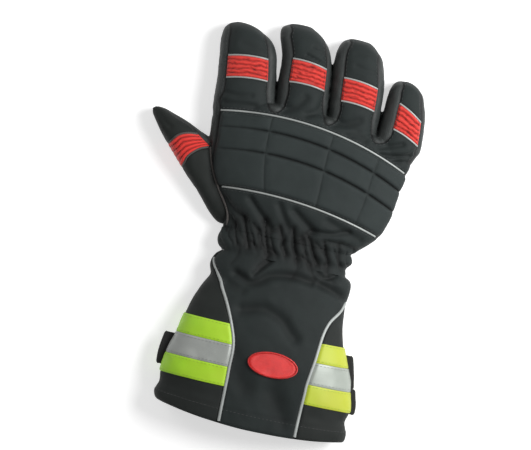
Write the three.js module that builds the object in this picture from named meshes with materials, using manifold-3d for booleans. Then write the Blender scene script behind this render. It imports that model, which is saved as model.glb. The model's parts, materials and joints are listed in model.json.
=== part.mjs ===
// A right-hand firefighter glove, lying palm down with its back up.
// Millimetres, +Z up, +Y to the fingertips, +X to the little finger. The origin is the palm's
// centre, on the surface that the glove lies on.
import * as THREE from 'three';
import { mergeVertices } from 'three/addons/utils/BufferGeometryUtils.js';
import Module from 'manifold-3d';

const wasm = await Module();
wasm.setup();

// Driving sizes
const palmWidth = 150;        // over the padded hand at the knuckles
const palmLength = 85;        // from the wrist gather to the knuckle piping
const palmHeight = 34;        // of the lying hand, without the pad's rise
const palmSeam = 4;           // height of the seam between palm leather and back
const wristWidth = 96;
const wristLength = 16.4;
const wristHeight = 31;
const cuffWidth = 146;        // at the hem
const cuffLength = 120.5;     // along the centre line, before the hem's bow
const cuffHeight = 42;
const thumbReach = 66;        // sideways, from the thumb's root to its tip
const thumbAdvance = 51;      // forwards, from the thumb's root to its tip
const thumbHeight = 26;
const wall = 2.8;             // shell, membrane and liner together
const gap = 0.3;              // left between neighbouring pieces
const padRise = 2.6;          // of the quilted rows above the hand
const padGroove = 0.3;        // what is left of that rise in the grooves
const padSeamRise = 1.5;      // what is left of it at the faint cross seams
const ribRise = 1.1;          // of the elastic's ribs
const ribDip = 0.7;           // of the grooves between the ribs
const ribCount = 4;
const insertPiping = 1.6;     // diameters of the pipings
const knucklePiping = 1.8;
const thumbSeamCord = 2;
const cuffPiping = 2.4;
const pipingSlack = 0.2;     // for the straight facets beside a curved piping
const pipingSink = 0.2;       // how far below the surface a piping's centre lies
const tapeRise = 0.8;         // of the tape's face above the cuff
const tapeSink = 0.4;         // of the tape's back below the cuff's face
const tapeStart = 52.3;       // from the wrist gather's lower end
const yellowWidth = 14.8;
const silverWidth = 16.7;
const tabThickness = 2.2;
const patchLength = 38;
const patchWidth = 19;
const patchRise = 1.7;
const patchClearance = 0.5;   // for the facets of the curved panel under the patch
const patchAcross = 0.089;    // the patch's centre, as shares of the cuff's width and length
const patchAlong = 0.627;

// Turns rows of values into rows with named columns.
const table = (columns, rows) =>
  rows.map((row) => Object.fromEntries(columns.map((name, i) => [name, row[i]])));

// Each digit is a ladder of rungs from its root to its tip. A rung goes from the digit's left
// edge to its right edge, in shares of the digit's width and length from its root, and rise is
// its share of the digit's height.
const rung = ['lx', 'ly', 'rx', 'ry', 'rise'];
const digits = {
  index: {
    x: -0.34 * palmWidth, y: 0.73 * palmLength, width: 42, length: 64, height: 30,
    left: -0.72, right: 0.73,
    ladder: table(rung, [
      [-0.43, -0.31, 0.43, -0.25, 0.8],
      [-0.51, 0, 0.55, 0.06, 1],
      [-0.54, 0.295, 0.5, 0.375, 0.98],
      [-0.586, 0.555, 0.425, 0.625, 0.95],
      [-0.622, 0.735, 0.37, 0.75, 0.92],
      [-0.62, 0.875, 0.24, 0.867, 0.82],
      [-0.545, 0.96, 0.03, 0.95, 0.64],
      [-0.42, 1, -0.15, 0.99, 0.45],
    ]),
  },
  middle: {
    x: -0.047 * palmWidth, y: 0.753 * palmLength, width: 40, length: 70, height: 30,
    left: -0.61, right: 0.82,
    ladder: table(rung, [
      [-0.425, -0.31, 0.475, -0.29, 0.8],
      [-0.48, 0.03, 0.49, 0.03, 1],
      [-0.535, 0.35, 0.435, 0.34, 0.98],
      [-0.56, 0.607, 0.39, 0.566, 0.95],
      [-0.605, 0.71, 0.345, 0.69, 0.93],
      [-0.68, 0.84, 0.24, 0.82, 0.87],
      [-0.68, 0.93, 0.08, 0.92, 0.72],
      [-0.52, 0.995, -0.15, 0.995, 0.46],
    ]),
  },
  ring: {
    x: 0.213 * palmWidth, y: 0.73 * palmLength, width: 40, length: 70, height: 29,
    left: -0.6, right: 0.76,
    ladder: table(rung, [
      [-0.4, -0.286, 0.4, -0.343, 0.8],
      [-0.44, 0.057, 0.47, -0.014, 1],
      [-0.495, 0.304, 0.48, 0.262, 0.98],
      [-0.54, 0.554, 0.46, 0.503, 0.95],
      [-0.565, 0.71, 0.39, 0.7, 0.93],
      [-0.545, 0.85, 0.3, 0.85, 0.86],
      [-0.49, 0.945, 0.15, 0.94, 0.7],
      [-0.36, 1, 0.02, 0.99, 0.46],
    ]),
  },
  little: {
    x: 0.46 * palmWidth, y: 0.635 * palmLength, width: 34, length: 55, height: 27,
    left: -0.46, right: 0.82,
    ladder: table(rung, [
      [-0.47, -0.22, 0.2, -0.36, 0.8],
      [-0.488, 0.13, 0.43, -0.02, 1],
      [-0.465, 0.367, 0.518, 0.138, 0.98],
      [-0.43, 0.742, 0.468, 0.46, 0.95],
      [-0.405, 0.87, 0.385, 0.7, 0.9],
      [-0.35, 0.95, 0.32, 0.85, 0.8],
      [-0.235, 0.996, 0.22, 0.93, 0.62],
      [-0.12, 1.01, 0.08, 0.985, 0.44],
    ]),
  },
};
const insertStart = 2;        // rungs between which a finger's elastic insert lies
const insertEnd = 3;
const rungBow = 0.055;        // how far a finger's rungs bow to the tip, as a share of its width
const fingerTipLift = 1.6;    // how far the underside rises at the tip, per rung squared
const thumbTipLift = 1.5;
const thumbBow = 0.04;        // how far the thumb's rungs bow, as a share of its advance

// The thumb's rungs are shares of its reach and advance from its root. Its left edge is the lower one.
const thumb = {
  x: -0.333 * palmWidth, y: 0,
  ladder: table(rung, [
    [0.15, -0.47, 0.06, 0.35, 0.7],
    [-0.09, -0.38, -0.15, 0.55, 0.78],
    [-0.318, -0.075, -0.288, 0.7, 0.88],
    [-0.538, 0.212, -0.432, 0.784, 0.97],
    [-0.712, 0.45, -0.576, 0.869, 0.94],
    [-0.838, 0.624, -0.735, 0.94, 0.86],
    [-0.936, 0.79, -0.864, 0.992, 0.7],
    [-0.995, 0.9, -0.95, 1, 0.52],
  ]),
};
// The thumb's insert has curved edges of its own, as shares of its reach and advance.
const thumbRibStart = 2.2;    // rungs between which the thumb's ribs lie
const thumbRibEnd = 4.2;
const thumbInsert = {
  upper: [[-0.76, 0.47], [-0.725, 0.53], [-0.64, 0.66], [-0.545, 0.71], [-0.455, 0.723]],
  lower: [[-0.55, 0.17], [-0.52, 0.27], [-0.5, 0.36], [-0.44, 0.457], [-0.37, 0.53], [-0.29, 0.574]],
};

// The hand's rungs, from the wrist to the crotches: shares of the palm's width and length.
const handLadder = table([...rung, 'bow'], [
  [-0.29, -0.47, 0.35, -0.47, 0.9, 0],
  [-0.29, -0.312, 0.353, -0.312, 0.9, 0],
  [-0.307, -0.177, 0.42, -0.2, 0.95, 0.047],
  [-0.38, 0, 0.463, -0.118, 1, 0.082],
  [-0.427, 0.177, 0.493, 0.024, 1, 0.112],
  [-0.457, 0.335, 0.507, 0.135, 1, 0.141],
  [-0.465, 0.435, 0.513, 0.235, 0.99, 0.147],
  [-0.47, 0.524, 0.52, 0.318, 0.98, 0.15],
  [-0.473, 0.6, 0.53, 0.4, 0.97, 0.147],
  [-0.475, 0.67, 0.537, 0.476, 0.95, 0.145],
  [-0.48, 0.76, 0.547, 0.62, 0.86, 0.118],
  [-0.465, 0.79, 0.54, 0.66, 0.55, 0.112],
]);
const wristTop = handLadder[1].ly * palmLength;
const lowerPipingRung = 3;
const grooveRungs = [5, 7];
const upperPipingRung = 9;
const padSeams = [-0.43, 0.19, 0.68];   // across the hand, from -1 at its left edge to 1
const stripEdge = -0.935;               // of the side wall's strip along the hand's left edge
const thumbCrotchRung = 5.4;            // where the thumb leaves the hand's edge
const littleWallRung = 9.7;             // where the little finger's side wall ends at the hand's edge

// The cuff's rungs: shares of its length from the wrist gather and of its width.
const cuffLadder = table(['at', 'left', 'right', 'rise', 'bow'], [
  [0, -0.291, 0.352, 0.74, 0],
  [0.035, -0.317, 0.377, 0.76, 0],
  [0.1, -0.33, 0.39, 0.8, 0],
  [0.16, -0.318, 0.386, 0.83, 0],
  [0.235, -0.347, 0.39, 0.87, 0],
  [0.34, -0.381, 0.406, 0.93, 0],
  [0.434, -0.4, 0.426, 0.97, 0],
  [0.557, -0.424, 0.465, 1, 0],
  [0.696, -0.457, 0.503, 1, 0],
  [0.818, -0.466, 0.523, 0.98, 0],
  [0.884, -0.46, 0.51, 0.96, -0.008],
  [0.95, -0.475, 0.528, 0.96, -0.025],
  [1, -0.46, 0.525, 0.95, -0.045],
]);
// The two curved pipings of the cuff: across from -1 at its left edge to 1 at its right edge.
const pipingRows = table(['at', 'left', 'right'], [
  [0, -0.985, 0.985],
  [0.07, -0.98, 0.985],
  [0.12, -0.93, 0.985],
  [0.16, -0.89, 0.985],
  [0.2, -0.8, 0.97],
  [0.25, -0.685, 0.895],
  [0.3, -0.6, 0.815],
  [0.38, -0.472, 0.752],
  [0.47, -0.396, 0.68],
  [0.58, -0.341, 0.59],
  [0.74, -0.306, 0.521],
  [1, -0.306, 0.499],
]);
// The gathered wrist: ripple is the share of the puffs' full depth.
const wristLadder = table(['at', 'left', 'right', 'ripple'], [
  [0, -0.451, 0.545, 0.25],
  [0.33, -0.478, 0.567, 1],
  [0.7, -0.475, 0.548, 0.9],
  [1, -0.446, 0.536, 0.25],
]);
const puffCount = 18;
const puffDepth = 1.7;
const puffBias = 0.35;        // the puffs are pinched in further than they swell out
const puffSlant = 0.6;        // how far a puff leans over the gather, in puffs

// Soft folds: lines from one point to another, with their width and depth in millimetres.
// Points are shares of the palm's width and length, then of the cuff's width and length.
const fold = ['x0', 'y0', 'x1', 'y1', 'width', 'depth'];
const handFolds = table(fold, [
  [-0.33, -0.06, -0.2, -0.21, 5, 1.6],
  [-0.2, -0.02, -0.07, -0.235, 5, 1.5],
  [0, -0.06, 0.13, -0.18, 5, 1.5],
  [0.17, -0.12, 0.3, -0.24, 5, 1.3],
]);
const cuffFolds = table(fold, [
  [-0.2, 0.16, 0.12, 0.1, 7, 1.8],
  [0.23, 0.07, 0.34, 0.14, 6, 1.6],
  [0.06, 0.34, 0.17, 0.44, 8, 1.8],
  [-0.12, 0.62, -0.02, 0.8, 9, 1.2],
  [0.12, 0.8, 0.2, 0.95, 9, 1.4],
]);

// Shape exponents of the cross sections: 2 is an ellipse, more is squarer.
const topPower = 2.4;
const bottomPower = 3;
const beltShare = 0.42;       // height of a section's widest line, as a share of its height
const bottomTuck = 1.5;       // how far the round underside reaches below the surface it lies on

const closest = (value, low, high) => Math.min(Math.max(value, low), high);
const mix = (a, b, share) => a + (b - a) * share;
const signedPower = (value, power) => Math.sign(value) * Math.abs(value) ** power;

// The row of a ladder at a rung number that may lie between two rungs.
function between(rows, number) {
  const low = Math.floor(closest(number, 0, rows.length - 2));
  const share = number - low;
  const row = {};
  for (const name of Object.keys(rows[0])) row[name] = mix(rows[low][name], rows[low + 1][name], share);
  return row;
}

// The row of a table at a value of its first column.
function rowAt(rows, at) {
  let low = 0;
  while (low < rows.length - 2 && rows[low + 1].at < at) low += 1;
  return between(rows, low + (at - rows[low].at) / (rows[low + 1].at - rows[low].at));
}

// The depth of the folds at a point of the plan.
function foldDepth(folds, x, y) {
  let depth = 0;
  for (const f of folds) {
    const ax = f.x1 - f.x0;
    const ay = f.y1 - f.y0;
    const along = closest(((x - f.x0) * ax + (y - f.y0) * ay) / (ax * ax + ay * ay), 0, 1);
    const away = Math.hypot(x - f.x0 - along * ax, y - f.y0 - along * ay);
    depth += f.depth * Math.exp(-((away / f.width) ** 2));
  }
  return depth;
}
const placeFolds = (rows, width, length, top) =>
  rows.map((f) => ({
    ...f,
    x0: f.x0 * width, x1: f.x1 * width, y0: top + f.y0 * length, y1: top + f.y1 * length,
  }));
const handFoldLines = placeFolds(handFolds, palmWidth, palmLength, 0);
const cuffTop = wristTop - gap - wristLength - gap;
const cuffFoldLines = placeFolds(cuffFolds, cuffWidth, -cuffLength, cuffTop);

// A section of a digit or of the hand: its two edge points in the plan and its heights.
function sectionOf(piece, number) {
  const row = between(piece.ladder, number);
  const top = row.rise * piece.height;
  const ends = piece.ladder.length - 1;
  const lift = piece.tipLift * closest(number - (ends - 2), 0, 2) ** 2;
  return {
    left: new THREE.Vector2(piece.x + row.lx * piece.width, piece.y + row.ly * piece.length),
    right: new THREE.Vector2(piece.x + row.rx * piece.width, piece.y + row.ry * piece.length),
    top,
    belt: mix(lift, top, beltShare),
    bottom: lift - bottomTuck,
    bow: row.bow === undefined ? rungBow * piece.width : row.bow * piece.length,
    push: piece.tipLift ? closest((number - insertEnd) / (ends - insertEnd), 0, 1) : 0,
  };
}

// A point of a section at an angle, 0 at the right edge and a quarter turn at the top.
function sectionPoint(section, angle, grow) {
  const across = section.right.clone().sub(section.left);
  const half = across.length() / 2;
  across.normalize();
  const upper = Math.sin(angle) >= 0;
  const power = 2 / (upper ? topPower : bottomPower);
  const u = signedPower(Math.cos(angle), power);
  const rise = signedPower(Math.sin(angle), power);
  const ahead = section.bow * (1 - u * u) + grow * section.push;
  const x = mix(section.left.x, section.right.x, 0.5) + across.x * u * (half + grow) - across.y * ahead;
  const y = mix(section.left.y, section.right.y, 0.5) + across.y * u * (half + grow) + across.x * ahead;
  const reach = upper ? section.top - section.belt : section.belt - section.bottom;
  return new THREE.Vector3(x, y, section.belt + rise * (reach + grow));
}

// The angle on the upper side of a section at a share across it, from -1 to 1.
const angleAt = (u) => Math.acos(signedPower(u, topPower / 2));
const planPoint = (piece, number, u) => {
  const point = sectionPoint(sectionOf(piece, number), angleAt(closest(u, -1, 1)), 0);
  const section = sectionOf(piece, number);
  const across = section.right.clone().sub(section.left).multiplyScalar(0.5);
  const beyond = u - closest(u, -1, 1);
  return new THREE.Vector2(point.x + across.x * beyond, point.y + across.y * beyond);
};

// Makes a geometry from points and triangles, with its faces pointing out.
function closedGeometry(points, triangles) {
  let volume = 0;
  const cross = new THREE.Vector3();
  for (const [a, b, c] of triangles) volume += cross.crossVectors(points[a], points[b]).dot(points[c]);
  const ordered = volume < 0 ? triangles.map(([a, b, c]) => [a, c, b]) : triangles;
  const geometry = new THREE.BufferGeometry();
  const coordinates = points.flatMap((p) => p.toArray());
  geometry.setAttribute('position', new THREE.Float32BufferAttribute(coordinates, 3));
  geometry.setIndex(ordered.flat());
  return geometry;
}

// A closed solid through rings of points, with a fan of faces at each end.
function loft(rings) {
  const sides = rings[0].length;
  const points = rings.flat();
  const triangles = [];
  for (let row = 0; row < rings.length - 1; row += 1) {
    for (let i = 0; i < sides; i += 1) {
      const a = row * sides + i;
      const b = row * sides + ((i + 1) % sides);
      triangles.push([a, b, b + sides], [a, b + sides, a + sides]);
    }
  }
  const middle = (ring) => ring.reduce((sum, p) => sum.add(p), new THREE.Vector3()).divideScalar(sides);
  const first = points.push(middle(rings[0])) - 1;
  const last = points.push(middle(rings.at(-1))) - 1;
  const end = (rings.length - 1) * sides;
  for (let i = 0; i < sides; i += 1) {
    const next = (i + 1) % sides;
    triangles.push([first, next, i], [last, end + i, end + next]);
  }
  return closedGeometry(points, triangles);
}

// A closed band through rings that go out along a wall's outer face and back along its inner face.
function sleeve(rings) {
  const sides = rings[0].length;
  const points = rings.flat();
  const triangles = [];
  rings.forEach((ring, row) => {
    const next = (row + 1) % rings.length;
    for (let i = 0; i < sides; i += 1) {
      const j = (i + 1) % sides;
      triangles.push([row * sides + i, row * sides + j, next * sides + j]);
      triangles.push([row * sides + i, next * sides + j, next * sides + i]);
    }
  });
  return closedGeometry(points, triangles);
}

// A closed sheet with thickness: face(i, j, 0) is its outer face and face(i, j, 1) its inner face.
function slab(columns, rows, face) {
  const points = [];
  const index = (side, i, j) => (side * (rows + 1) + j) * (columns + 1) + i;
  for (const side of [0, 1]) {
    for (let j = 0; j <= rows; j += 1) {
      for (let i = 0; i <= columns; i += 1) points.push(face(i, j, side));
    }
  }
  const triangles = [];
  const quad = (a, b, c, d) => triangles.push([a, b, c], [a, c, d]);
  for (let j = 0; j < rows; j += 1) {
    for (let i = 0; i < columns; i += 1) {
      quad(index(0, i, j), index(0, i + 1, j), index(0, i + 1, j + 1), index(0, i, j + 1));
      quad(index(1, i, j), index(1, i, j + 1), index(1, i + 1, j + 1), index(1, i + 1, j));
    }
    quad(index(0, 0, j), index(0, 0, j + 1), index(1, 0, j + 1), index(1, 0, j));
    quad(index(0, columns, j), index(1, columns, j), index(1, columns, j + 1), index(0, columns, j + 1));
  }
  for (let i = 0; i < columns; i += 1) {
    quad(index(0, i, 0), index(1, i, 0), index(1, i + 1, 0), index(0, i + 1, 0));
    quad(index(0, i, rows), index(0, i + 1, rows), index(1, i + 1, rows), index(1, i, rows));
  }
  return closedGeometry(points, triangles);
}

// Booleans on closed geometries
function solid(geometry) {
  const bare = geometry.clone();
  bare.deleteAttribute('normal');
  bare.deleteAttribute('uv');
  const merged = mergeVertices(bare, 1e-4);
  return new wasm.Manifold(new wasm.Mesh({
    numProp: 3,
    vertProperties: new Float32Array(merged.attributes.position.array),
    triVerts: new Uint32Array(merged.index.array),
  }));
}
// The body without the slivers that a cut may leave beside it
function largest(body) {
  return body.decompose().reduce((best, part) => (part.volume() > best.volume() ? part : best));
}
function geometryOf(body) {
  const mesh = body.getMesh();
  const geometry = new THREE.BufferGeometry();
  geometry.setAttribute('position', new THREE.BufferAttribute(new Float32Array(mesh.vertProperties), 3));
  geometry.setIndex(new THREE.BufferAttribute(new Uint32Array(mesh.triVerts), 1));
  return geometry;
}
const joined = (bodies) => bodies.reduce((sum, body) => sum.add(body));
const far = 400;              // beyond the whole glove
function box(low, high) {
  const size = new THREE.Vector3().subVectors(high, low);
  const geometry = new THREE.BoxGeometry(size.x, size.y, size.z);
  geometry.translate((low.x + high.x) / 2, (low.y + high.y) / 2, (low.z + high.z) / 2);
  return solid(geometry);
}
const layer = (low, high) => box(new THREE.Vector3(-far, -far, low), new THREE.Vector3(far, far, high));

// An upright prism over an outline in the plan
function extruded(outline, low, high) {
  const settings = { depth: high - low, bevelEnabled: false };
  const geometry = new THREE.ExtrudeGeometry(new THREE.Shape(outline), settings);
  geometry.translate(0, 0, low);
  return geometry;
}
function prism(outline) {
  return solid(extruded(outline, -far, far));
}
// An upright cut of a width along a line in the plan
function knife(line, width) {
  const sides = [[], []];
  line.forEach((point, i) => {
    const before = line[Math.max(i - 1, 0)];
    const after = line[Math.min(i + 1, line.length - 1)];
    const along = after.clone().sub(before).normalize();
    const normal = new THREE.Vector2(-along.y, along.x).multiplyScalar(width / 2);
    sides[0].push(point.clone().add(normal));
    sides[1].unshift(point.clone().sub(normal));
  });
  return prism(sides.flat());
}

// The hand with its fingers and thumb, grown by a thickness or shrunk by one
const thumbPiece = {
  ...thumb, width: thumbReach, length: thumbAdvance, height: thumbHeight, tipLift: thumbTipLift,
};
thumbPiece.ladder = thumb.ladder.map((row) => ({ ...row, bow: thumbBow }));
const handPiece = {
  x: 0, y: 0, width: palmWidth, length: palmLength, height: palmHeight, ladder: handLadder, tipLift: 0,
};
const digitPieces = {};
for (const [name, digit] of Object.entries(digits)) {
  digitPieces[name] = { ...digit, tipLift: fingerTipLift };
}

const evenAngles = (sides) => Array.from({ length: sides }, (_, i) => (2 * Math.PI * i) / sides);
function pieceLoft(piece, grow, sides, numbers) {
  const rings = numbers.map((number) => {
    const section = sectionOf(piece, number);
    return evenAngles(sides).map((angle) => {
      const point = sectionPoint(section, angle, grow);
      if (piece === handPiece && Math.sin(angle) > 0) point.z -= foldDepth(handFoldLines, point.x, point.y);
      return point;
    });
  });
  return solid(loft(rings));
}
// The hollow inside needs fewer faces than the outer shape.
const outerFaces = {
  hand: 24, digit: 12, handRungs: [0, 1, 2, 3, 4, 5, 7, 9, 10, 11], digitRungs: [0, 1, 2, 3, 4, 5, 6, 7],
};
const hollowFaces = {
  hand: 16, digit: 10, handRungs: [0, 1, 3, 5, 9, 10, 11], digitRungs: [0, 1, 4, 6, 7],
};
function gloveHand(grow, faces) {
  const parts = [pieceLoft(handPiece, grow, faces.hand, faces.handRungs)];
  for (const piece of [...Object.values(digitPieces), thumbPiece]) {
    parts.push(pieceLoft(piece, grow, faces.digit, faces.digitRungs));
  }
  const floor = grow < 0 ? -grow : 0;
  return joined(parts).intersect(layer(floor, far));
}
const outer = gloveHand(0, outerFaces);
const hollow = gloveHand(-wall, hollowFaces);
const wristCut = box(new THREE.Vector3(-far, -far, -far), new THREE.Vector3(far, wristTop, far));
const shell = outer.subtract(hollow).subtract(wristCut);
const palm = shell.intersect(layer(-far, palmSeam - gap / 2));
const upper = shell.intersect(layer(palmSeam + gap / 2, far));

// The height of the shell's outer face above a point of the plan
const bothSides = new THREE.MeshBasicMaterial({ side: THREE.DoubleSide });
const outerMesh = new THREE.Mesh(geometryOf(outer), bothSides);
const ray = new THREE.Raycaster();
function heightAt(point) {
  ray.set(new THREE.Vector3(point.x, point.y, far), new THREE.Vector3(0, 0, -1));
  const hit = ray.intersectObject(outerMesh)[0];
  return hit ? hit.point.z : palmSeam;
}

// Seam lines in the plan
const span = (from, to, count) => Array.from({ length: count + 1 }, (_, i) => mix(from, to, i / count));
const rungLine = (piece, number, from, to, count) =>
  span(from, to, count).map((u) => planPoint(piece, number, u));
// A digit's long seams leave its outline at the tip's corners.
const seamStops = table(['at', 'spread'], [
  [1.15, 0.08], [1.5, 0], [insertStart, 0], [2.5, 0], [insertEnd, 0], [4, 0], [5, 0.08],
]);
const seamExit = { at: 6, across: 1.12 };
function longSeam(piece, side) {
  const base = side < 0 ? piece.left : piece.right;
  const stops = seamStops.map(({ at, spread }) => planPoint(piece, at, base + side * spread));
  return [...stops, planPoint(piece, seamExit.at, side * seamExit.across)];
}
const fingers = Object.values(digitPieces);
const fingerNames = Object.keys(digitPieces);
const seams = fingers.map((piece) => ({ left: longSeam(piece, -1), right: longSeam(piece, 1) }));
const edgeStops = 6;
const handEdge = (from, to, u) =>
  span(from, to, edgeStops).map((number) => planPoint(handPiece, number, u));
const point = (x, y) => new THREE.Vector2(x, y);

// The thumb lies outside the hand's left edge.
const thumbEdge = -0.985;
const thumbLine = handEdge(thumbCrotchRung, 0, thumbEdge);
const beyondThumb = thumbLine[0].y + 0.8 * far;   // so that the zone's border passes the thumb's tip
const thumbZone = prism([point(-far, beyondThumb), ...thumbLine, point(-far, thumbLine.at(-1).y)]);
const thumbKnife = knife(thumbLine, thumbSeamCord + 4 * gap);
const upperHand = upper.subtract(thumbZone).subtract(thumbKnife);
const upperThumb = upper.intersect(thumbZone).subtract(thumbKnife);

// The crotches between neighbouring fingers
const crotchDip = 0.018 * palmLength;
const crotches = [0, 1, 2].map((i) => {
  const a = planPoint(fingers[i], 1, 1);
  const b = planPoint(fingers[i + 1], 1, -1);
  return point((a.x + b.x) / 2, (a.y + b.y) / 2 - crotchDip);
});
const stripLine = handEdge(upperPipingRung, thumbCrotchRung, stripEdge);
const stripRunOut = 0.25;     // rungs past the crotch, to just outside the hand
const justOutside = 1.02;
const stripEnd = planPoint(handPiece, thumbCrotchRung - stripRunOut, -justOutside);
const littleEnd = planPoint(handPiece, littleWallRung, -thumbEdge);
const littleRunOut = point(6, -1);
const wallLines = [
  [...seams[0].left.toReversed(), ...stripLine, stripEnd],
  ...crotches.map((crotch, i) => [...seams[i].right.toReversed(), crotch, ...seams[i + 1].left]),
  [...seams[3].right.toReversed(), littleEnd, littleEnd.clone().add(littleRunOut)],
];
const wallZones = wallLines.map((line, i) => {
  if (i === 0) return prism([...line, point(-far, line.at(-1).y), point(-far, far)]);
  if (i === 4) return prism([...line, point(far, line.at(-1).y), point(far, far)]);
  return prism(line);
});
const wallNames = [
  'sidewall_index_outer', 'sidewall_index_middle', 'sidewall_middle_ring', 'sidewall_ring_little',
  'sidewall_little_outer',
];
const allWallZones = joined(wallZones);
const wallKnives = joined(wallLines.map((line) => knife(line, gap)));

// The pipings across the fingers and the hand, and what they cut out of the panels
const insertCut = insertPiping + 2 * gap;
const knuckleCut = knucklePiping + 2 * gap;
const pipingInset = 0.05;     // of an insert's pipings from the side walls, as a share across the finger
const insertSpans = 5;        // straight lengths in a piping
const knuckleSpans = 12;
const crossLines = [];
for (const [i, piece] of fingers.entries()) {
  for (const [end, number] of [['lower', insertStart], ['upper', insertEnd]]) {
    crossLines.push({
      name: `piping_${fingerNames[i]}_${end}`,
      line: rungLine(piece, number, piece.left + pipingInset, piece.right - pipingInset, insertSpans),
      diameter: insertPiping,
    });
  }
}
const knuckleLines = [
  { name: 'piping_knuckle_upper', rung: upperPipingRung, from: stripEdge, to: 0.97 },
  { name: 'piping_knuckle_lower', rung: lowerPipingRung, from: -0.93, to: 0.97 },
].map((row) => ({
  name: row.name,
  line: rungLine(handPiece, row.rung, row.from, row.to, knuckleSpans),
  diameter: knucklePiping,
}));
const thumbPoint = ([x, y]) => point(thumb.x + x * thumbReach, thumb.y + y * thumbAdvance);
const thumbMargin = 12;        // by which the insert's edges are drawn past the thumb's outline
const thumbEdges = {
  upper: thumbInsert.upper.map(thumbPoint),
  lower: thumbInsert.lower.map(thumbPoint),
};
const stretched = (line, by) => {
  const first = line[0].clone().sub(line[1]).setLength(by).add(line[0]);
  const last = line.at(-1).clone().sub(line.at(-2)).setLength(by).add(line.at(-1));
  return [first, ...line, last];
};
// How far the cuts run on past the pipings' ends
const insertOverrun = 2;
const upperOverrun = 8;
const lowerOverrun = 10;
const upperLine = stretched(knuckleLines[0].line, upperOverrun);
const lowerLine = stretched(knuckleLines[1].line, lowerOverrun);
const fingerKnives = joined(crossLines.map(({ line }) => knife(stretched(line, insertOverrun), insertCut)));
const knuckleKnives = joined([knife(upperLine, knuckleCut), knife(lowerLine, knuckleCut)]);

// Zones between the seams
const zoneSpans = 6;
function insertZone(piece, from, to) {
  const numbers = span(from, to, zoneSpans);
  const rightSide = numbers.map((number) => planPoint(piece, number, piece.right));
  const leftSide = numbers.map((number) => planPoint(piece, number, piece.left)).reverse();
  const lowEdge = rungLine(piece, from, piece.left, piece.right, zoneSpans).slice(1, -1);
  const highEdge = rungLine(piece, to, piece.right, piece.left, zoneSpans).slice(1, -1);
  return prism([...lowEdge, ...rightSide, ...highEdge, ...leftSide]);
}
const tipStop = seamStops.findIndex(({ at }) => at === insertEnd);
function tipZone(piece, seam) {
  const edge = rungLine(piece, insertEnd, piece.left, piece.right, zoneSpans).slice(1, -1);
  const rightSide = seam.right.slice(tipStop);
  const leftSide = seam.left.slice(tipStop).reverse();
  const beyond = [point(rightSide.at(-1).x, far), point(leftSide[0].x, far)];
  return prism([...edge, ...rightSide, ...beyond, ...leftSide]);
}
const padZone = prism([...lowerLine, ...upperLine.toReversed()]);
const belowPad = prism([...lowerLine, point(far, lowerLine.at(-1).y), point(far, -far), point(-far, -far)]);
const insertZones = fingers.map((piece) => insertZone(piece, insertStart, insertEnd));
const tipZones = fingers.map((piece, i) => tipZone(piece, seams[i]));

// The quilted pad: the hand's own surface, raised between the grooves and the cross seams
const padColumns = [-1, -0.96, -0.88, -0.7, -0.12, 0.43, 0.94, 1];
const seamHalf = 0.022;       // of a cross seam's dip, as a share across the hand
const rowShoulder = 0.25;     // share of a quilted row that slopes up from its groove
function padSolid() {
  const rows = [lowerPipingRung];
  for (const end of [...grooveRungs, upperPipingRung]) {
    const start = rows.at(-1);
    rows.push(mix(start, end, rowShoulder), mix(end, start, rowShoulder), end);
  }
  const seamColumns = padSeams.flatMap((seam) => [seam - seamHalf, seam, seam + seamHalf]);
  const topShares = [...padColumns, ...seamColumns];
  topShares.sort((a, b) => b - a);
  const underside = [1.25 * Math.PI, 1.75 * Math.PI];
  const angles = [...topShares.map((u) => angleAt(u)), ...underside];
  const rings = rows.map((number) => {
    const section = sectionOf(handPiece, number);
    const groove = [lowerPipingRung, ...grooveRungs, upperPipingRung].includes(number);
    return angles.map((angle, i) => {
      const seam = padSeams.includes(topShares[i]);
      const rise = groove ? padGroove : seam ? padSeamRise : padRise;
      return sectionPoint(section, angle, i < topShares.length ? rise : 0);
    });
  });
  return solid(loft(rings)).intersect(layer(palmSeam + gap / 2, far)).subtract(hollow);
}

// An elastic insert: ribs across a digit between two rungs
const ribMargin = 0.12;       // rungs past the insert's ends
function ribbed(piece, from, to) {
  const rows = span(from - ribMargin, to + ribMargin, 2 * ribCount + 2);
  const rings = rows.map((number, i) => {
    const section = sectionOf(piece, number);
    const grow = i % 2 ? ribRise : -ribDip;
    return evenAngles(outerFaces.digit).map((angle) => sectionPoint(section, angle, grow));
  });
  return solid(loft(rings)).intersect(layer(palmSeam + gap / 2, far)).subtract(hollow);
}

// A round cord through points, with a ring of faces at each point
const cordSides = 6;
function cordThrough(points, diameter) {
  const up = new THREE.Vector3(0, 0, 1);
  return loft(points.map((at, i) => {
    const before = points[Math.max(i - 1, 0)];
    const after = points[Math.min(i + 1, points.length - 1)];
    const along = after.clone().sub(before).normalize();
    const side = along.clone().cross(up).normalize();
    const over = side.clone().cross(along);
    return evenAngles(cordSides).map((angle) => at.clone()
      .addScaledVector(side, (Math.cos(angle) * diameter) / 2)
      .addScaledVector(over, (Math.sin(angle) * diameter) / 2));
  }));
}
// A piping along a line of the plan, seated in the shell's outer face
function piping(line, diameter) {
  const lowest = palmSeam + gap + diameter;
  return cordThrough(
    line.map((p) => new THREE.Vector3(p.x, p.y, Math.max(heightAt(p) - pipingSink, lowest))),
    diameter,
  );
}

// Fabric, leather and trim
const finish = (color, roughness, metalness = 0) =>
  new THREE.MeshStandardMaterial({ color, roughness, metalness });
const fabric = finish(0x2b2f2f, 0.85);
const padFabric = finish(0x303535, 0.8);
const leather = finish(0x3c3f3f, 0.7);
const elastic = finish(0xe0332b, 0.75);
const reflective = finish(0xb4b8b6, 0.4, 0.3);
const dullCord = finish(0x5a5350, 0.6);
const hiVis = finish(0xb8e02e, 0.6);
const webbing = finish(0x151616, 0.8);
const embroidery = finish(0xd8262c, 0.65);

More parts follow.
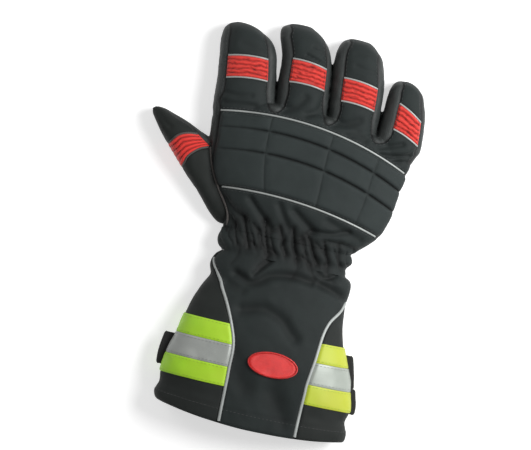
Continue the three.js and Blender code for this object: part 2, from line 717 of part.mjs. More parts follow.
const glove = new THREE.Group();
function add(name, shape, material) {
  const geometry = shape.isBufferGeometry ? shape : geometryOf(largest(shape));
  const mesh = new THREE.Mesh(geometry, material);
  mesh.name = name;
  glove.add(mesh);
}

add('palm', palm, leather);
wallZones.forEach((zone, i) => {
  const others = wallZones.filter((_, j) => j < i);
  let body = upperHand.intersect(zone);
  if (others.length) body = body.subtract(joined(others));
  add(wallNames[i], body.subtract(wallKnives), leather);
});

fingerNames.forEach((name, i) => {
  const piece = fingers[i];
  const tip = upperHand.intersect(tipZones[i]).subtract(allWallZones).subtract(wallKnives);
  add(`tip_${name}`, tip.subtract(fingerKnives), fabric);
  const ribs = ribbed(piece, insertStart, insertEnd).intersect(insertZones[i]);
  const insert = ribs.subtract(allWallZones).subtract(wallKnives);
  add(`elastic_${name}`, insert.subtract(fingerKnives), elastic);
});

const taken = joined([...insertZones, ...tipZones, allWallZones, wallKnives, fingerKnives, knuckleKnives]);
add('knuckle_yoke', upperHand.subtract(taken).subtract(padZone).subtract(belowPad), fabric);
const padBody = padSolid().intersect(padZone).subtract(thumbZone).subtract(thumbKnife);
add('knuckle_pad', padBody.subtract(allWallZones).subtract(wallKnives).subtract(knuckleKnives), padFabric);
const backBody = upperHand.intersect(belowPad).subtract(allWallZones);
add('hand_back', backBody.subtract(knuckleKnives).subtract(wallKnives), fabric);

// The thumb: tip, insert and base
const thumbLower = stretched(thumbEdges.lower, thumbMargin);
const thumbUpper = stretched(thumbEdges.upper, thumbMargin).slice(0, -1);
const thumbCuts = joined([
  knife(thumbUpper, insertCut + gap),
  knife(thumbLower, insertCut + gap),
  knife([thumbUpper.at(-1), thumbLower.at(-2)], gap),
]);
const thumbInsertZone = prism([...thumbLower.slice(0, -1), ...thumbUpper.toReversed()]);
const belowThumbInsert = prism([...thumbLower, point(far, 0), point(far, -far), point(-far, -far)]);
const thumbTip = upperThumb.subtract(thumbInsertZone).subtract(belowThumbInsert).subtract(thumbCuts);
add('tip_thumb', thumbTip, fabric);
add('thumb_base', upperThumb.intersect(belowThumbInsert).subtract(thumbCuts), fabric);
const thumbRibs = ribbed(thumbPiece, thumbRibStart, thumbRibEnd).intersect(thumbZone);
const thumbBand = thumbRibs.intersect(thumbInsertZone).subtract(belowThumbInsert);
add('elastic_thumb', thumbBand.subtract(thumbCuts).subtract(thumbKnife), elastic);

// Pipings
for (const { name, line, diameter } of [...crossLines, ...knuckleLines]) {
  add(name, piping(line, diameter), reflective);
}
add('piping_thumb_upper', piping(thumbEdges.upper.slice(1), insertPiping), dullCord);
add('piping_thumb_lower', piping(thumbEdges.lower.slice(1, -1), insertPiping), dullCord);
const thumbCordStart = thumbCrotchRung - 0.3;
const thumbCordEnd = 1.2;
const thumbCordLine = handEdge(thumbCordStart, thumbCordEnd, thumbEdge);
add('piping_thumb_seam', piping(thumbCordLine, thumbSeamCord), dullCord);

// The gathered wrist
const facesPerPuff = 3;
function wristRing(row, grow, ripple) {
  const middle = wristTop - gap - row.at * wristLength;
  const section = {
    left: point(row.left * wristWidth, middle), right: point(row.right * wristWidth, middle),
    top: wristHeight, belt: beltShare * wristHeight, bottom: -bottomTuck, bow: 0, push: 0,
  };
  return evenAngles(facesPerPuff * puffCount).map((angle) => {
    const phase = puffCount * angle + 2 * Math.PI * puffSlant * row.at;
    const puff = ripple * puffDepth * row.ripple * (Math.cos(phase) - puffBias);
    const at = sectionPoint(section, angle, grow + puff);
    at.z = Math.max(at.z, grow < 0 ? -grow : 0);
    return at;
  });
}
const wristRings = [
  ...wristLadder.map((row) => wristRing(row, 0, 1)),
  ...[wristLadder.at(-1), wristLadder[0]].map((row) => wristRing(row, -wall - puffDepth, 0)),
];
add('wrist_gather', sleeve(wristRings), fabric);

// The cuff's surface at a share of its length and an angle round it
function cuffSection(at) {
  const row = rowAt(cuffLadder, at);
  const y = cuffTop - at * cuffLength;
  const top = row.rise * cuffHeight;
  return {
    left: point(row.left * cuffWidth, y), right: point(row.right * cuffWidth, y),
    top, belt: beltShare * top, bottom: -bottomTuck, bow: row.bow * cuffWidth, push: 0,
  };
}
function cuffPoint(at, angle, grow) {
  const place = sectionPoint(cuffSection(at), angle, grow);
  if (Math.sin(angle) > 0) place.z -= foldDepth(cuffFoldLines, place.x, place.y);
  place.z = Math.max(place.z, grow < 0 ? -grow : 0);
  return place;
}
// The angle of a panel's edge beside a piping, clear of it by the cord's radius and a gap
const pipingAngle = (at, side) => angleAt(rowAt(pipingRows, at)[side]);
function edgeAngle(at, side, turn) {
  const step = 0.02;
  const angle = pipingAngle(at, side);
  const round = cuffPoint(at, angle + step, 0).sub(cuffPoint(at, angle - step, 0));
  const perAngle = round.length() / (2 * step);
  const low = Math.max(at - step, 0);
  const high = Math.min(at + step, 1);
  const along = cuffPoint(high, pipingAngle(high, side), 0).sub(cuffPoint(low, pipingAngle(low, side), 0));
  const lengths = along.length() * round.length();
  const sine = along.cross(round).length() / lengths;
  return angle + (turn * (cuffPiping / 2 + gap + pipingSlack)) / (perAngle * sine);
}

const tapeEdges = [tapeStart];
for (const width of [yellowWidth, silverWidth, yellowWidth]) tapeEdges.push(tapeEdges.at(-1) + width);
const share = (length) => length / cuffLength;
const neckRows = [0, 0.07, 0.14, 0.22, 0.3, 0.37];
const tapeRows = tapeEdges.map(share);
const hemRows = [0.91, 1];
const cuffRows = [...neckRows, ...tapeRows, ...hemRows];
const backColumns = 11;
add('cuff_back', slab(backColumns, cuffRows.length - 1, (i, j, inner) => {
  const at = cuffRows[j];
  const from = edgeAngle(at, 'right', 1);
  const to = edgeAngle(at, 'left', -1);
  return cuffPoint(at, mix(from, to, i / backColumns), inner ? -wall : 0);
}), fabric);

// The side panel goes round the underside and is thinner under the tape.
const gapShare = share(gap);
const sideRows = table(['at', 'sink'], [
  ...neckRows.map((at) => [at, 0]),
  [tapeRows[0] - 2 * gapShare, 0], [tapeRows[0] - gapShare, 1], [tapeRows[1], 1],
  [tapeRows[2], 1], [tapeRows[3] + gapShare, 1], [tapeRows[3] + 2 * gapShare, 0],
  ...hemRows.map((at) => [at, 0]),
]);
const sideColumns = 13;
const sideAngle = (at, i) => {
  const from = edgeAngle(at, 'left', 1);
  const to = 2 * Math.PI + edgeAngle(at, 'right', -1);
  return mix(from, to, i / sideColumns);
};
add('cuff_side', slab(sideColumns, sideRows.length - 1, (i, j, inner) => {
  const { at, sink } = sideRows[j];
  return cuffPoint(at, sideAngle(at, i), inner ? -wall : -sink * (tapeSink + gap));
}), fabric);

const tapes = ['tape_yellow_upper', 'tape_silver', 'tape_yellow_lower'];
tapes.forEach((name, n) => {
  const start = tapeRows[n] + (n ? gapShare / 2 : 0);
  const end = tapeRows[n + 1] - (n < tapes.length - 1 ? gapShare / 2 : 0);
  add(name, slab(sideColumns, 1, (i, j, inner) => {
    const at = j ? end : start;
    return cuffPoint(at, sideAngle(at, i), inner ? -tapeSink : tapeRise);
  }), n === 1 ? reflective : hiVis);
});

const cuffCordInset = 0.015;  // of the cuff's pipings from its ends
for (const side of ['left', 'right']) {
  const stops = [cuffCordInset, ...cuffRows.slice(1, -1), 1 - cuffCordInset];
  const points = stops.map((at) => cuffPoint(at, pipingAngle(at, side), -pipingSink));
  add(`piping_cuff_${side}`, cordThrough(points, cuffPiping), reflective);
}

// Short tabs caught in the side seams: flat loops of webbing beside the tape
// The seat is how far a tab reaches in, where the curved side's facets leave room for it.
const tabRows = table(['name', 'side', 'start', 'end', 'startReach', 'endReach', 'seat'], [
  ['side_tab', -1, 0.57, 0.775, 9.5, 4.5, 0],
  ['edge_tab_upper', 1, 0.475, 0.665, 6.5, 3.6, 0.3],
  ['edge_tab_lower', 1, 0.675, 0.83, 4.8, 4.2, 0.6],
]);
for (const tab of tabRows) {
  const edge = (at, reach) => {
    const section = cuffSection(at);
    const from = tab.side < 0 ? section.left : section.right;
    return point(from.x + tab.side * (tapeRise + gap - tab.seat + reach), from.y);
  };
  const outline = span(tab.start, tab.end, 3).map((at) => edge(at, 0));
  outline.push(edge(tab.end, tab.endReach), edge(tab.start, tab.startReach));
  const middle = beltShare * cuffHeight;
  add(tab.name, extruded(outline, middle - tabThickness / 2, middle + tabThickness / 2), webbing);
}

// An oval embroidered patch on the cuff's centre panel
const patchCentre = point(patchAcross * cuffWidth, cuffTop - patchAlong * cuffLength);
const patchSides = 22;
function patchPoint(angle, size, rise) {
  const x = patchCentre.x + (Math.cos(angle) * size * patchLength) / 2;
  const y = patchCentre.y + (Math.sin(angle) * size * patchWidth) / 2;
  const section = cuffSection((cuffTop - y) / cuffLength);
  const middle = (section.left.x + section.right.x) / 2;
  const u = (x - middle) / ((section.right.x - section.left.x) / 2);
  const place = cuffPoint((cuffTop - y) / cuffLength, angleAt(u), 0);
  return new THREE.Vector3(x, y, place.z + rise);
}
const patchLayer = (rise) => evenAngles(patchSides).map((angle) => patchPoint(angle, 1, rise));
add('cuff_patch', loft([patchLayer(gap + patchClearance), patchLayer(patchRise)]), embroidery);

export default glove;
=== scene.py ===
# %% [markdown]
# # A firefighter's glove, right hand, lying on its palm
#
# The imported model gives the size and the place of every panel. This lesson sews a finer glove over
# it: one smooth skin for the hand, cut along its seams into leather and cloth panels, then a
# gathered wrist, a flared cuff, and the trim. Lengths are in millimetres until a mesh is made.

# %% Load the frame
import json
import math

import bpy
import numpy as np
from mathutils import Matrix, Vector
from mathutils.bvhtree import BVHTree

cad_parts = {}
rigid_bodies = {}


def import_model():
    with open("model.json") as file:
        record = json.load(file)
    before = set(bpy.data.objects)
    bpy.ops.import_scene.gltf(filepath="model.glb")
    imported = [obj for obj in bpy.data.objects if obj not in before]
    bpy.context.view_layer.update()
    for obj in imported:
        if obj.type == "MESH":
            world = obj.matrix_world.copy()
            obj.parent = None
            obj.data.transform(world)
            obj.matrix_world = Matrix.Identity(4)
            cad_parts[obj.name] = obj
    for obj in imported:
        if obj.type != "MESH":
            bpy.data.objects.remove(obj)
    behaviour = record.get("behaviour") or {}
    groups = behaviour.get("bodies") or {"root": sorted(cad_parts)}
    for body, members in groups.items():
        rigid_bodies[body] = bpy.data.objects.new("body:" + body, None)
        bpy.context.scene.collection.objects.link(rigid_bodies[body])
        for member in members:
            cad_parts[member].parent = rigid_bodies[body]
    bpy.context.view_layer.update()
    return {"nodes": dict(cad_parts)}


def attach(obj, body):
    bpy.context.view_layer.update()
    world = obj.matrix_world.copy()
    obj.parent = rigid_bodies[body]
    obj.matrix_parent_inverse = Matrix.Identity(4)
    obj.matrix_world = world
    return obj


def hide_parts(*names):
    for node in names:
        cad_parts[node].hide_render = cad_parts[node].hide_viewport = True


for leftover in list(bpy.data.objects):
    bpy.data.objects.remove(leftover)
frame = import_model()
print("panels in the model:", len(frame["nodes"]))

# %% [markdown]
# ## The shape's ladders
#
# A digit is described by a ladder. Each rung crosses the finger from its left edge to its right
# edge, in shares of the finger's width and length, and says how much of its height it has there.
# The model has the same ladders. Between its rungs the model is straight, but this skin follows a
# smooth curve through them, as stuffed cloth does.

# %% The sizes and ladders of the hand
PALM_WIDTH, PALM_LENGTH, PALM_HEIGHT, PALM_SEAM = 150.0, 85.0, 34.0, 4.0
THUMB_REACH, THUMB_ADVANCE, THUMB_HEIGHT = 66.0, 51.0, 26.0
TOP_POWER, BOTTOM_POWER, BELT, TUCK = 2.4, 3.0, 0.42, 1.5
RUNG_BOW, INSERT_START, INSERT_END = 0.055, 2.0, 3.0

DIGITS = {
    "index": {
        "x": -51.0, "y": 62.05, "width": 42.0, "length": 64.0, "height": 30.0,
        "crown": -0.93, "left": -0.72, "right": 0.73,
        "ladder": [
            (-0.43, -0.31, 0.43, -0.25, 0.8), (-0.51, 0, 0.55, 0.06, 1), (-0.54, 0.295, 0.5, 0.375, 0.98),
            (-0.586, 0.555, 0.425, 0.625, 0.95), (-0.622, 0.735, 0.37, 0.75, 0.92),
            (-0.62, 0.875, 0.24, 0.867, 0.82), (-0.545, 0.96, 0.03, 0.95, 0.64), (-0.42, 1, -0.15, 0.99, 0.45),
        ],
    },
    "middle": {
        "x": -7.05, "y": 64.005, "width": 40.0, "length": 70.0, "height": 30.0,
        "crown": -0.55, "left": -0.61, "right": 0.82,
        "ladder": [
            (-0.425, -0.31, 0.475, -0.29, 0.8), (-0.48, 0.03, 0.49, 0.03, 1), (-0.535, 0.35, 0.435, 0.34, 0.98),
            (-0.56, 0.607, 0.39, 0.566, 0.95), (-0.605, 0.71, 0.345, 0.69, 0.93),
            (-0.68, 0.84, 0.24, 0.82, 0.87), (-0.68, 0.93, 0.08, 0.92, 0.72), (-0.52, 0.995, -0.15, 0.995, 0.46),
        ],
    },
    "ring": {
        "x": 31.95, "y": 62.05, "width": 40.0, "length": 70.0, "height": 29.0,
        "crown": -0.53, "left": -0.6, "right": 0.76,
        "ladder": [
            (-0.4, -0.286, 0.4, -0.343, 0.8), (-0.44, 0.057, 0.47, -0.014, 1), (-0.495, 0.304, 0.48, 0.262, 0.98),
            (-0.54, 0.554, 0.46, 0.503, 0.95), (-0.565, 0.71, 0.39, 0.7, 0.93),
            (-0.545, 0.85, 0.3, 0.85, 0.86), (-0.49, 0.945, 0.15, 0.94, 0.7), (-0.36, 1, 0.02, 0.99, 0.46),
        ],
    },
    "little": {
        "x": 69.0, "y": 53.975, "width": 34.0, "length": 55.0, "height": 27.0,
        "crown": -0.8, "left": -0.46, "right": 0.82,
        "ladder": [
            (-0.47, -0.22, 0.2, -0.36, 0.8), (-0.488, 0.13, 0.43, -0.02, 1), (-0.465, 0.367, 0.518, 0.138, 0.98),
            (-0.43, 0.742, 0.468, 0.46, 0.95), (-0.405, 0.87, 0.385, 0.7, 0.9),
            (-0.35, 0.95, 0.32, 0.85, 0.8), (-0.235, 0.996, 0.22, 0.93, 0.62), (-0.12, 1.01, 0.08, 0.985, 0.44),
        ],
    },
}
THUMB = {
    "x": -49.95, "y": 0.0, "width": THUMB_REACH, "length": THUMB_ADVANCE, "height": THUMB_HEIGHT,
    "ladder": [
        (0.15, -0.47, 0.06, 0.35, 0.7), (-0.09, -0.38, -0.15, 0.55, 0.78), (-0.318, -0.075, -0.288, 0.7, 0.88),
        (-0.538, 0.212, -0.432, 0.784, 0.97), (-0.712, 0.45, -0.576, 0.869, 0.94),
        (-0.838, 0.624, -0.735, 0.94, 0.86), (-0.936, 0.79, -0.864, 0.992, 0.7), (-0.995, 0.9, -0.95, 1, 0.52),
    ],
}
THUMB_UPPER = [(-0.76, 0.47), (-0.725, 0.53), (-0.64, 0.66), (-0.545, 0.71), (-0.445, 0.725)]
THUMB_WALL = [(-0.86, 1.06), (-0.81, 0.98), (-0.72, 0.915), (-0.54, 0.83), (-0.445, 0.74), (-0.28, 0.6), (-0.16, 0.5)]
THUMB_LOWER = [(-0.55, 0.17), (-0.52, 0.27), (-0.5, 0.36), (-0.44, 0.457), (-0.37, 0.53), (-0.29, 0.574)]
HAND = {
    "x": 0.0, "y": 0.0, "width": PALM_WIDTH, "length": PALM_LENGTH, "height": PALM_HEIGHT,
    "ladder": [
        (-0.288, -0.345, 0.352, -0.345, 0.9, 0), (-0.29, -0.312, 0.353, -0.312, 0.9, 0),
        (-0.307, -0.17, 0.42, -0.2, 0.95, 0.047), (-0.38, 0.024, 0.463, -0.118, 1, 0.078),
        (-0.427, 0.177, 0.493, 0.024, 1, 0.112), (-0.457, 0.335, 0.507, 0.135, 1, 0.141),
        (-0.465, 0.435, 0.513, 0.235, 0.99, 0.147), (-0.47, 0.524, 0.52, 0.318, 0.98, 0.15),
        (-0.473, 0.6, 0.53, 0.4, 0.97, 0.147), (-0.475, 0.67, 0.537, 0.476, 0.95, 0.145),
        (-0.48, 0.76, 0.547, 0.62, 0.86, 0.118), (-0.465, 0.79, 0.54, 0.66, 0.55, 0.112),
    ],
}
WRIST_TOP, CUFF_TOP = -0.312 * PALM_LENGTH, -43.52
WRIST = {
    "x": 0.0, "y": 0.0, "width": 1.0, "length": 1.0, "height": 1.0, "lift": 0.0,
    "ladder": [
        (-42.8, -20, 52.2, -20, 30.4, 0), (-43.4, -27.2, 51.2, -27.2, 30.4, 0), (-47.4, -33, 54.4, -33, 31, 0),
        (-46.6, -38.5, 50.8, -38.5, 31, 0), (-43.4, -43.6, 53.0, -43.6, 31, 0), (-46.6, -48.5, 57.0, -48.5, 32, 0),
        (-48.2, -55.6, 57.3, -55.6, 33.6, 0), (-46.4, -62.8, 56.8, -62.8, 34.9, 0),
    ],
}
LOWER_PIPING, UPPER_PIPING, GROOVES = 3.0, 9.0, (5.0, 7.0)
THUMB_CROTCH, THUMB_EDGE, STRIP_EDGE = 5.4, -0.985, -0.935
PAD_SEAMS = (-0.43, 0.19, 0.68)
for digit in DIGITS.values():
    fade = (1, 1, 1, 1, 0.9, 0.6, 0.3, 0.1)
    bow = RUNG_BOW * digit["width"] / digit["length"]
    digit["ladder"] = [(*rung, bow * share) for rung, share in zip(digit["ladder"], fade)]
    digit["lift"] = 1.6
THUMB["ladder"] = [(*rung, 0.04) for rung in THUMB["ladder"]]
THUMB["lift"] = 1.5
HAND["lift"] = 0.0


# %% Smooth rows between the rungs
def smooth(stops, rows, wanted):
    """Rows of a table at values between its stops, on a smooth curve through them."""
    stops = np.asarray(stops, float)
    rows = np.asarray(rows, float)
    wanted = np.clip(np.asarray(wanted, float), stops[0], stops[-1])
    slopes = np.gradient(rows, stops, axis=0)
    low = np.clip(np.searchsorted(stops, wanted, "right") - 1, 0, len(stops) - 2)
    width = (stops[low + 1] - stops[low])[..., None]
    t = (wanted - stops[low])[..., None] / width
    ease = t * t * (3 - 2 * t)
    start = t * (1 - t) ** 2 * width * slopes[low]
    end = t * t * (t - 1) * width * slopes[low + 1]
    return rows[low] * (1 - ease) + rows[low + 1] * ease + start + end


def signed_power(value, power):
    return np.sign(value) * np.abs(value) ** power


def cross_points(left, right, top, bow, lift, push, angles, grow=0.0):
    """Points round a section: angle 0 is its right edge, and a quarter turn is its top."""
    across = right - left
    half = np.linalg.norm(across, axis=-1) / 2
    across = across / (2 * half)[..., None]
    belt = lift + (top - lift) * BELT
    upper = np.sin(angles) >= 0
    power = np.where(upper, 2 / TOP_POWER, 2 / BOTTOM_POWER)
    share = signed_power(np.cos(angles), power)
    rise = signed_power(np.sin(angles), power)
    ahead = bow * (1 - share**2) + grow * push
    middle = (left + right) / 2
    x = middle[..., 0] + across[..., 0] * share * (half + grow) - across[..., 1] * ahead
    y = middle[..., 1] + across[..., 1] * share * (half + grow) + across[..., 0] * ahead
    reach = np.where(upper, top - belt, belt - (lift - TUCK))
    return np.stack([x, y, belt + rise * (reach + grow)], -1)


def on_ladder(piece, numbers, angles, grow=0.0):
    """Points of the hand or of a digit at rung numbers and angles."""
    numbers, angles = np.broadcast_arrays(np.asarray(numbers, float), np.asarray(angles, float))
    ladder = piece["ladder"]
    last = len(ladder) - 1
    row = smooth(np.arange(last + 1), ladder, numbers)
    place = np.array([piece["x"], piece["y"]])
    size = np.array([piece["width"], piece["length"]])
    lift = piece["lift"] * np.clip(numbers - (last - 2), 0, 2) ** 2
    push = np.clip((numbers - INSERT_END) / (last - INSERT_END), 0, 1) * (piece["lift"] > 0)
    bow = row[..., 5] * piece["length"]
    left = place + row[..., 0:2] * size
    right = place + row[..., 2:4] * size
    return cross_points(left, right, row[..., 4] * piece["height"], bow, lift, push, angles, grow)


def on_plan(piece, numbers, shares):
    """Points seen from above, at rung numbers and shares across from -1 to 1, or beyond them."""
    numbers, shares = np.broadcast_arrays(np.asarray(numbers, float), np.asarray(shares, float))
    held = np.clip(shares, -1, 1)
    points = on_ladder(piece, numbers, np.arccos(signed_power(held, TOP_POWER / 2)))[..., :2]
    row = smooth(np.arange(len(piece["ladder"])), piece["ladder"], numbers)
    size = np.array([piece["width"], piece["length"]])
    half = (row[..., 2:4] - row[..., 0:2]) * size / 2
    return points + half * (shares - held)[..., None]


# %% [markdown]
# ## Seams
#
# Every panel ends at a seam. A seam is a curve seen from above, and a panel is the part of the skin
# inside a closed outline of seams. Curves are kept as points about a millimetre apart.

# %% Curves and distances in the plan
FAR = 400.0


def curve(points, spacing=1.2):
    """A smooth line through points, with new points at about the same distance from each other."""
    points = np.asarray(points, float)
    steps = np.linalg.norm(np.diff(points, axis=0), axis=1)
    along = np.concatenate([[0], np.cumsum(steps)])
    count = max(2, int(round(along[-1] / spacing)) + 1)
    return smooth(along, points, np.linspace(0, along[-1], count))


def nearest(points, line):
    """The distance of each point to a line of the plan."""
    best = np.full(len(points), 1e9)
    for start, end in zip(line[:-1], line[1:]):
        step = end - start
        size = step @ step
        if size < 1e-12:
            continue
        away = points - start
        share = np.clip(away @ step / size, 0, 1)
        gap = away - share[:, None] * step
        best = np.minimum(best, np.einsum("ij,ij->i", gap, gap))
    return np.sqrt(best)


def inside(points, outline):
    """Which points of the plan lie inside a closed outline."""
    answer = np.zeros(len(points), bool)
    x, y = points[:, 0], points[:, 1]
    for (ax, ay), (bx, by) in zip(outline, np.roll(outline, -1, axis=0)):
        if ay == by:
            continue
        crosses = (ay > y) != (by > y)
        answer ^= crosses & (x < ax + (y - ay) * (bx - ax) / (by - ay))
    return answer


def depth_inside(points, outline):
    """The distance to a closed outline, above nought inside it and below nought outside it."""
    closed = np.vstack([outline, outline[:1]])
    return nearest(points, closed) * np.where(inside(points, outline), 1, -1)


def step_up(low, high, value):
    t = np.clip((value - low) / (high - low), 0, 1)
    return t * t * (3 - 2 * t)


# %% The seams of the fingers, the thumb and the hand
SEAM_STOPS = (1.15, 1.5, 2, 3, 4, 5, 6, 7)
SEAM_COUNT = 50


def long_seam(piece, side):
    """The seam between a finger's back and its side wall: the left one reaches the crown of the tip."""
    if side < 0:
        base = piece["left"]
        stops, shares = SEAM_STOPS, (base - 0.08, base, base, base, base, base, piece["crown"], -1.12)
    else:
        base = piece["right"]
        stops, shares = SEAM_STOPS[:7], (base + 0.08, base, base, base, base, base + 0.05, 1.12)
    numbers = np.linspace(stops[0], stops[-1], SEAM_COUNT)
    table = np.array(shares, float)[:, None]
    return on_plan(piece, numbers, smooth(stops, table, numbers)[:, 0])


def across(piece, number, start, end, count=28):
    return on_plan(piece, number, np.linspace(start, end, count))


def hand_edge(start, end, share, count=40):
    return on_plan(HAND, np.linspace(start, end, count), share)


def run_on(line, by):
    """The line with both ends carried straight on."""
    first = line[0] - line[1]
    last = line[-1] - line[-2]
    return np.vstack([line[0] + first / np.linalg.norm(first) * by, line, line[-1] + last / np.linalg.norm(last) * by])


fingers = list(DIGITS.values())
finger_names = list(DIGITS)
seams = [(long_seam(piece, -1), long_seam(piece, 1)) for piece in fingers]
thumb_line = hand_edge(THUMB_CROTCH, 0, THUMB_EDGE)
STRIP_END = 3.3
strip_rungs = np.linspace(UPPER_PIPING, STRIP_END, 60)
taper = 1 - step_up(STRIP_END, THUMB_CROTCH + 0.4, strip_rungs)
strip_line = on_plan(HAND, strip_rungs, STRIP_EDGE + (THUMB_EDGE - STRIP_EDGE - 0.01) * taper)
crotches = []
for one, two in zip(fingers[:-1], fingers[1:]):
    middle = (on_plan(one, 1.0, 1.0) + on_plan(two, 1.0, -1.0)) / 2
    crotches.append(middle - (0, 1.5))
strip_end = on_plan(HAND, STRIP_END - 0.15, -1.02)
little_end = on_plan(HAND, UPPER_PIPING + 0.7, 0.985)
wall_lines = [curve(np.vstack([seams[0][0][::-1], strip_line[2:], strip_end]))]
for i, crotch in enumerate(crotches):
    wall_lines.append(curve(np.vstack([seams[i][1][::-1], crotch, seams[i + 1][0]])))
wall_lines.append(curve(np.vstack([seams[3][1][::-1], little_end, little_end + (6, -1)])))
knuckle_upper = across(HAND, UPPER_PIPING, STRIP_EDGE, 0.97, 120)
knuckle_lower = across(HAND, LOWER_PIPING, -0.93, 0.97, 110)
upper_line = run_on(knuckle_upper, 8)
lower_line = run_on(knuckle_lower, 10)
insert_lines = [
    [across(piece, number, piece["left"], piece["right"]) for number in (INSERT_START, INSERT_END)]
    for piece in fingers
]
thumb_place = np.array([THUMB["x"], THUMB["y"]])
thumb_size = np.array([THUMB_REACH, THUMB_ADVANCE])
thumb_upper = curve(thumb_place + np.array(THUMB_UPPER) * thumb_size)
thumb_lower = curve(thumb_place + np.array(THUMB_LOWER) * thumb_size)
thumb_lines = [run_on(thumb_lower, 12), run_on(thumb_upper, 12)]
thumb_wall = curve(thumb_place + np.array(THUMB_WALL) * thumb_size)
print("seams:", len(wall_lines) + len(seams) * 2 + 4)

# %% The outline of each panel, seen from above
left_far, right_far = (-FAR, FAR), (FAR, FAR)
thumb_zone = np.vstack([(-FAR, thumb_line[0][1] + 0.8 * FAR), thumb_line, (-FAR, thumb_line[-1][1])])
zones = {}
wall_names = ["index_outer", "index_middle", "middle_ring", "ring_little", "little_outer"]
for name, line in zip(wall_names, wall_lines):
    ends = []
    if name == "index_outer":
        ends = [(-FAR, line[-1][1]), left_far]
    if name == "little_outer":
        ends = [(FAR, line[-1][1]), right_far]
    zones[f"sidewall_{name}"] = np.vstack([line, *ends]) if ends else line
for name, piece, seam, lines in zip(finger_names, fingers, seams, insert_lines):
    rungs = np.linspace(INSERT_START, INSERT_END, 14)[1:-1]
    right_side = on_plan(piece, rungs, piece["right"])
    left_side = on_plan(piece, rungs, piece["left"])
    zones[f"elastic_{name}"] = np.vstack([lines[0], right_side, lines[1][::-1], left_side[::-1]])
    left_tip = seam[0][np.linspace(SEAM_STOPS[0], SEAM_STOPS[-1], SEAM_COUNT) > INSERT_END]
    right_tip = seam[1][np.linspace(SEAM_STOPS[0], SEAM_STOPS[-2], SEAM_COUNT) > INSERT_END]
    beyond = [(right_tip[-1][0], FAR), (left_tip[-1][0], FAR)]
    zones[f"tip_{name}"] = np.vstack([lines[1], right_tip, beyond, left_tip[::-1]])
zones["knuckle_pad"] = np.vstack([lower_line, upper_line[::-1]])
zones["hand_back"] = np.vstack([lower_line, (FAR, lower_line[-1][1]), (FAR, -FAR), (-FAR, -FAR)])
zones["thumb_base"] = np.vstack([thumb_lines[0], (FAR, 0), (FAR, -FAR), (-FAR, -FAR)])
zones["elastic_thumb"] = np.vstack([thumb_lines[0][:-1], thumb_lines[1][::-1]])
zones["thumb_wall"] = np.vstack([thumb_wall, (FAR, thumb_wall[-1][1]), (FAR, FAR), (thumb_wall[0][0], FAR)])
print("zones:", len(zones))

# %% [markdown]
# ## One smooth skin
#
# Lofts of the hand and its digits overlap, as balloons pushed together would. A voxel remesh turns
# them into one closed skin of even faces, and a few passes of Smooth round off the creases where
# they meet. That is simpler than sewing grids together at every crotch, and no seam is lost,
# because the seams are cut afterwards.

# %% Loft, join and remesh
MM = 0.001
WEBS = [((-29.5, 62), (-29.2, 87)), ((12, 56), (8.5, 104)), ((50.5, 54), (53, 84))]
WEB_HALF, WEB_HEIGHT = 4.0, 11.0
VOXEL = 0.9


def loft(rings):
    """Points and faces of a closed loft through rings of points, with a fan at each end."""
    count, sides = rings.shape[:2]
    points = np.vstack([rings.reshape(-1, 3), rings[0].mean(0), rings[-1].mean(0)])
    row, column = np.meshgrid(np.arange(count - 1), np.arange(sides), indexing="ij")
    beside = (column + 1) % sides
    faces = np.stack([row * sides + column, row * sides + beside, (row + 1) * sides + beside, (row + 1) * sides + column], -1)
    faces = faces.reshape(-1, 4).tolist()
    i = np.arange(sides)
    j = (i + 1) % sides
    faces += np.stack([np.full(sides, count * sides), j, i], 1).tolist()
    top = (count - 1) * sides
    faces += np.stack([np.full(sides, count * sides + 1), top + i, top + j], 1).tolist()
    return points, faces


def web(start, end, count=14, sides=20):
    """A long low bead of leather in the slit between two fingers."""
    share = np.linspace(0.02, 0.98, count)[:, None]
    turn = np.linspace(0, 2 * math.pi, sides, endpoint=False)[None, :]
    round_off = np.sqrt(1 - (2 * share - 1) ** 4)
    x = start[0] + (end[0] - start[0]) * share + WEB_HALF * round_off * np.cos(turn)
    y = start[1] + (end[1] - start[1]) * share + 0 * turn
    z = WEB_HEIGHT / 2 * (1 + round_off * np.sin(turn))
    return loft(np.stack([x, y, z], -1)[::-1])


def balloon(grow, rungs=56, sides=88):
    """The lofts of the hand and its digits in one list of points and faces."""
    points, faces = [], []
    lofts = [web(*ends) for ends in WEBS] if grow == 0 else []
    angles = np.linspace(0, 2 * math.pi, sides, endpoint=False)
    for piece in [HAND, WRIST, *fingers, THUMB]:
        numbers = np.linspace(0, len(piece["ladder"]) - 1, rungs)
        lofts.append(loft(on_ladder(piece, numbers[:, None], angles[None, :], grow)))
    for new_points, new_faces in lofts:
        start = sum(len(part) for part in points)
        points.append(new_points)
        faces += [[start + i for i in face] for face in new_faces]
    return np.vstack(points), faces


def triangles_of(mesh):
    """The points, in millimetres, and triangles of a mesh."""
    points = np.empty(len(mesh.vertices) * 3)
    mesh.vertices.foreach_get("co", points)
    mesh.calc_loop_triangles()
    faces = np.empty(len(mesh.loop_triangles) * 3, np.int32)
    mesh.loop_triangles.foreach_get("vertices", faces)
    return points.reshape(-1, 3) / MM, faces.reshape(-1, 3).astype(np.int64)


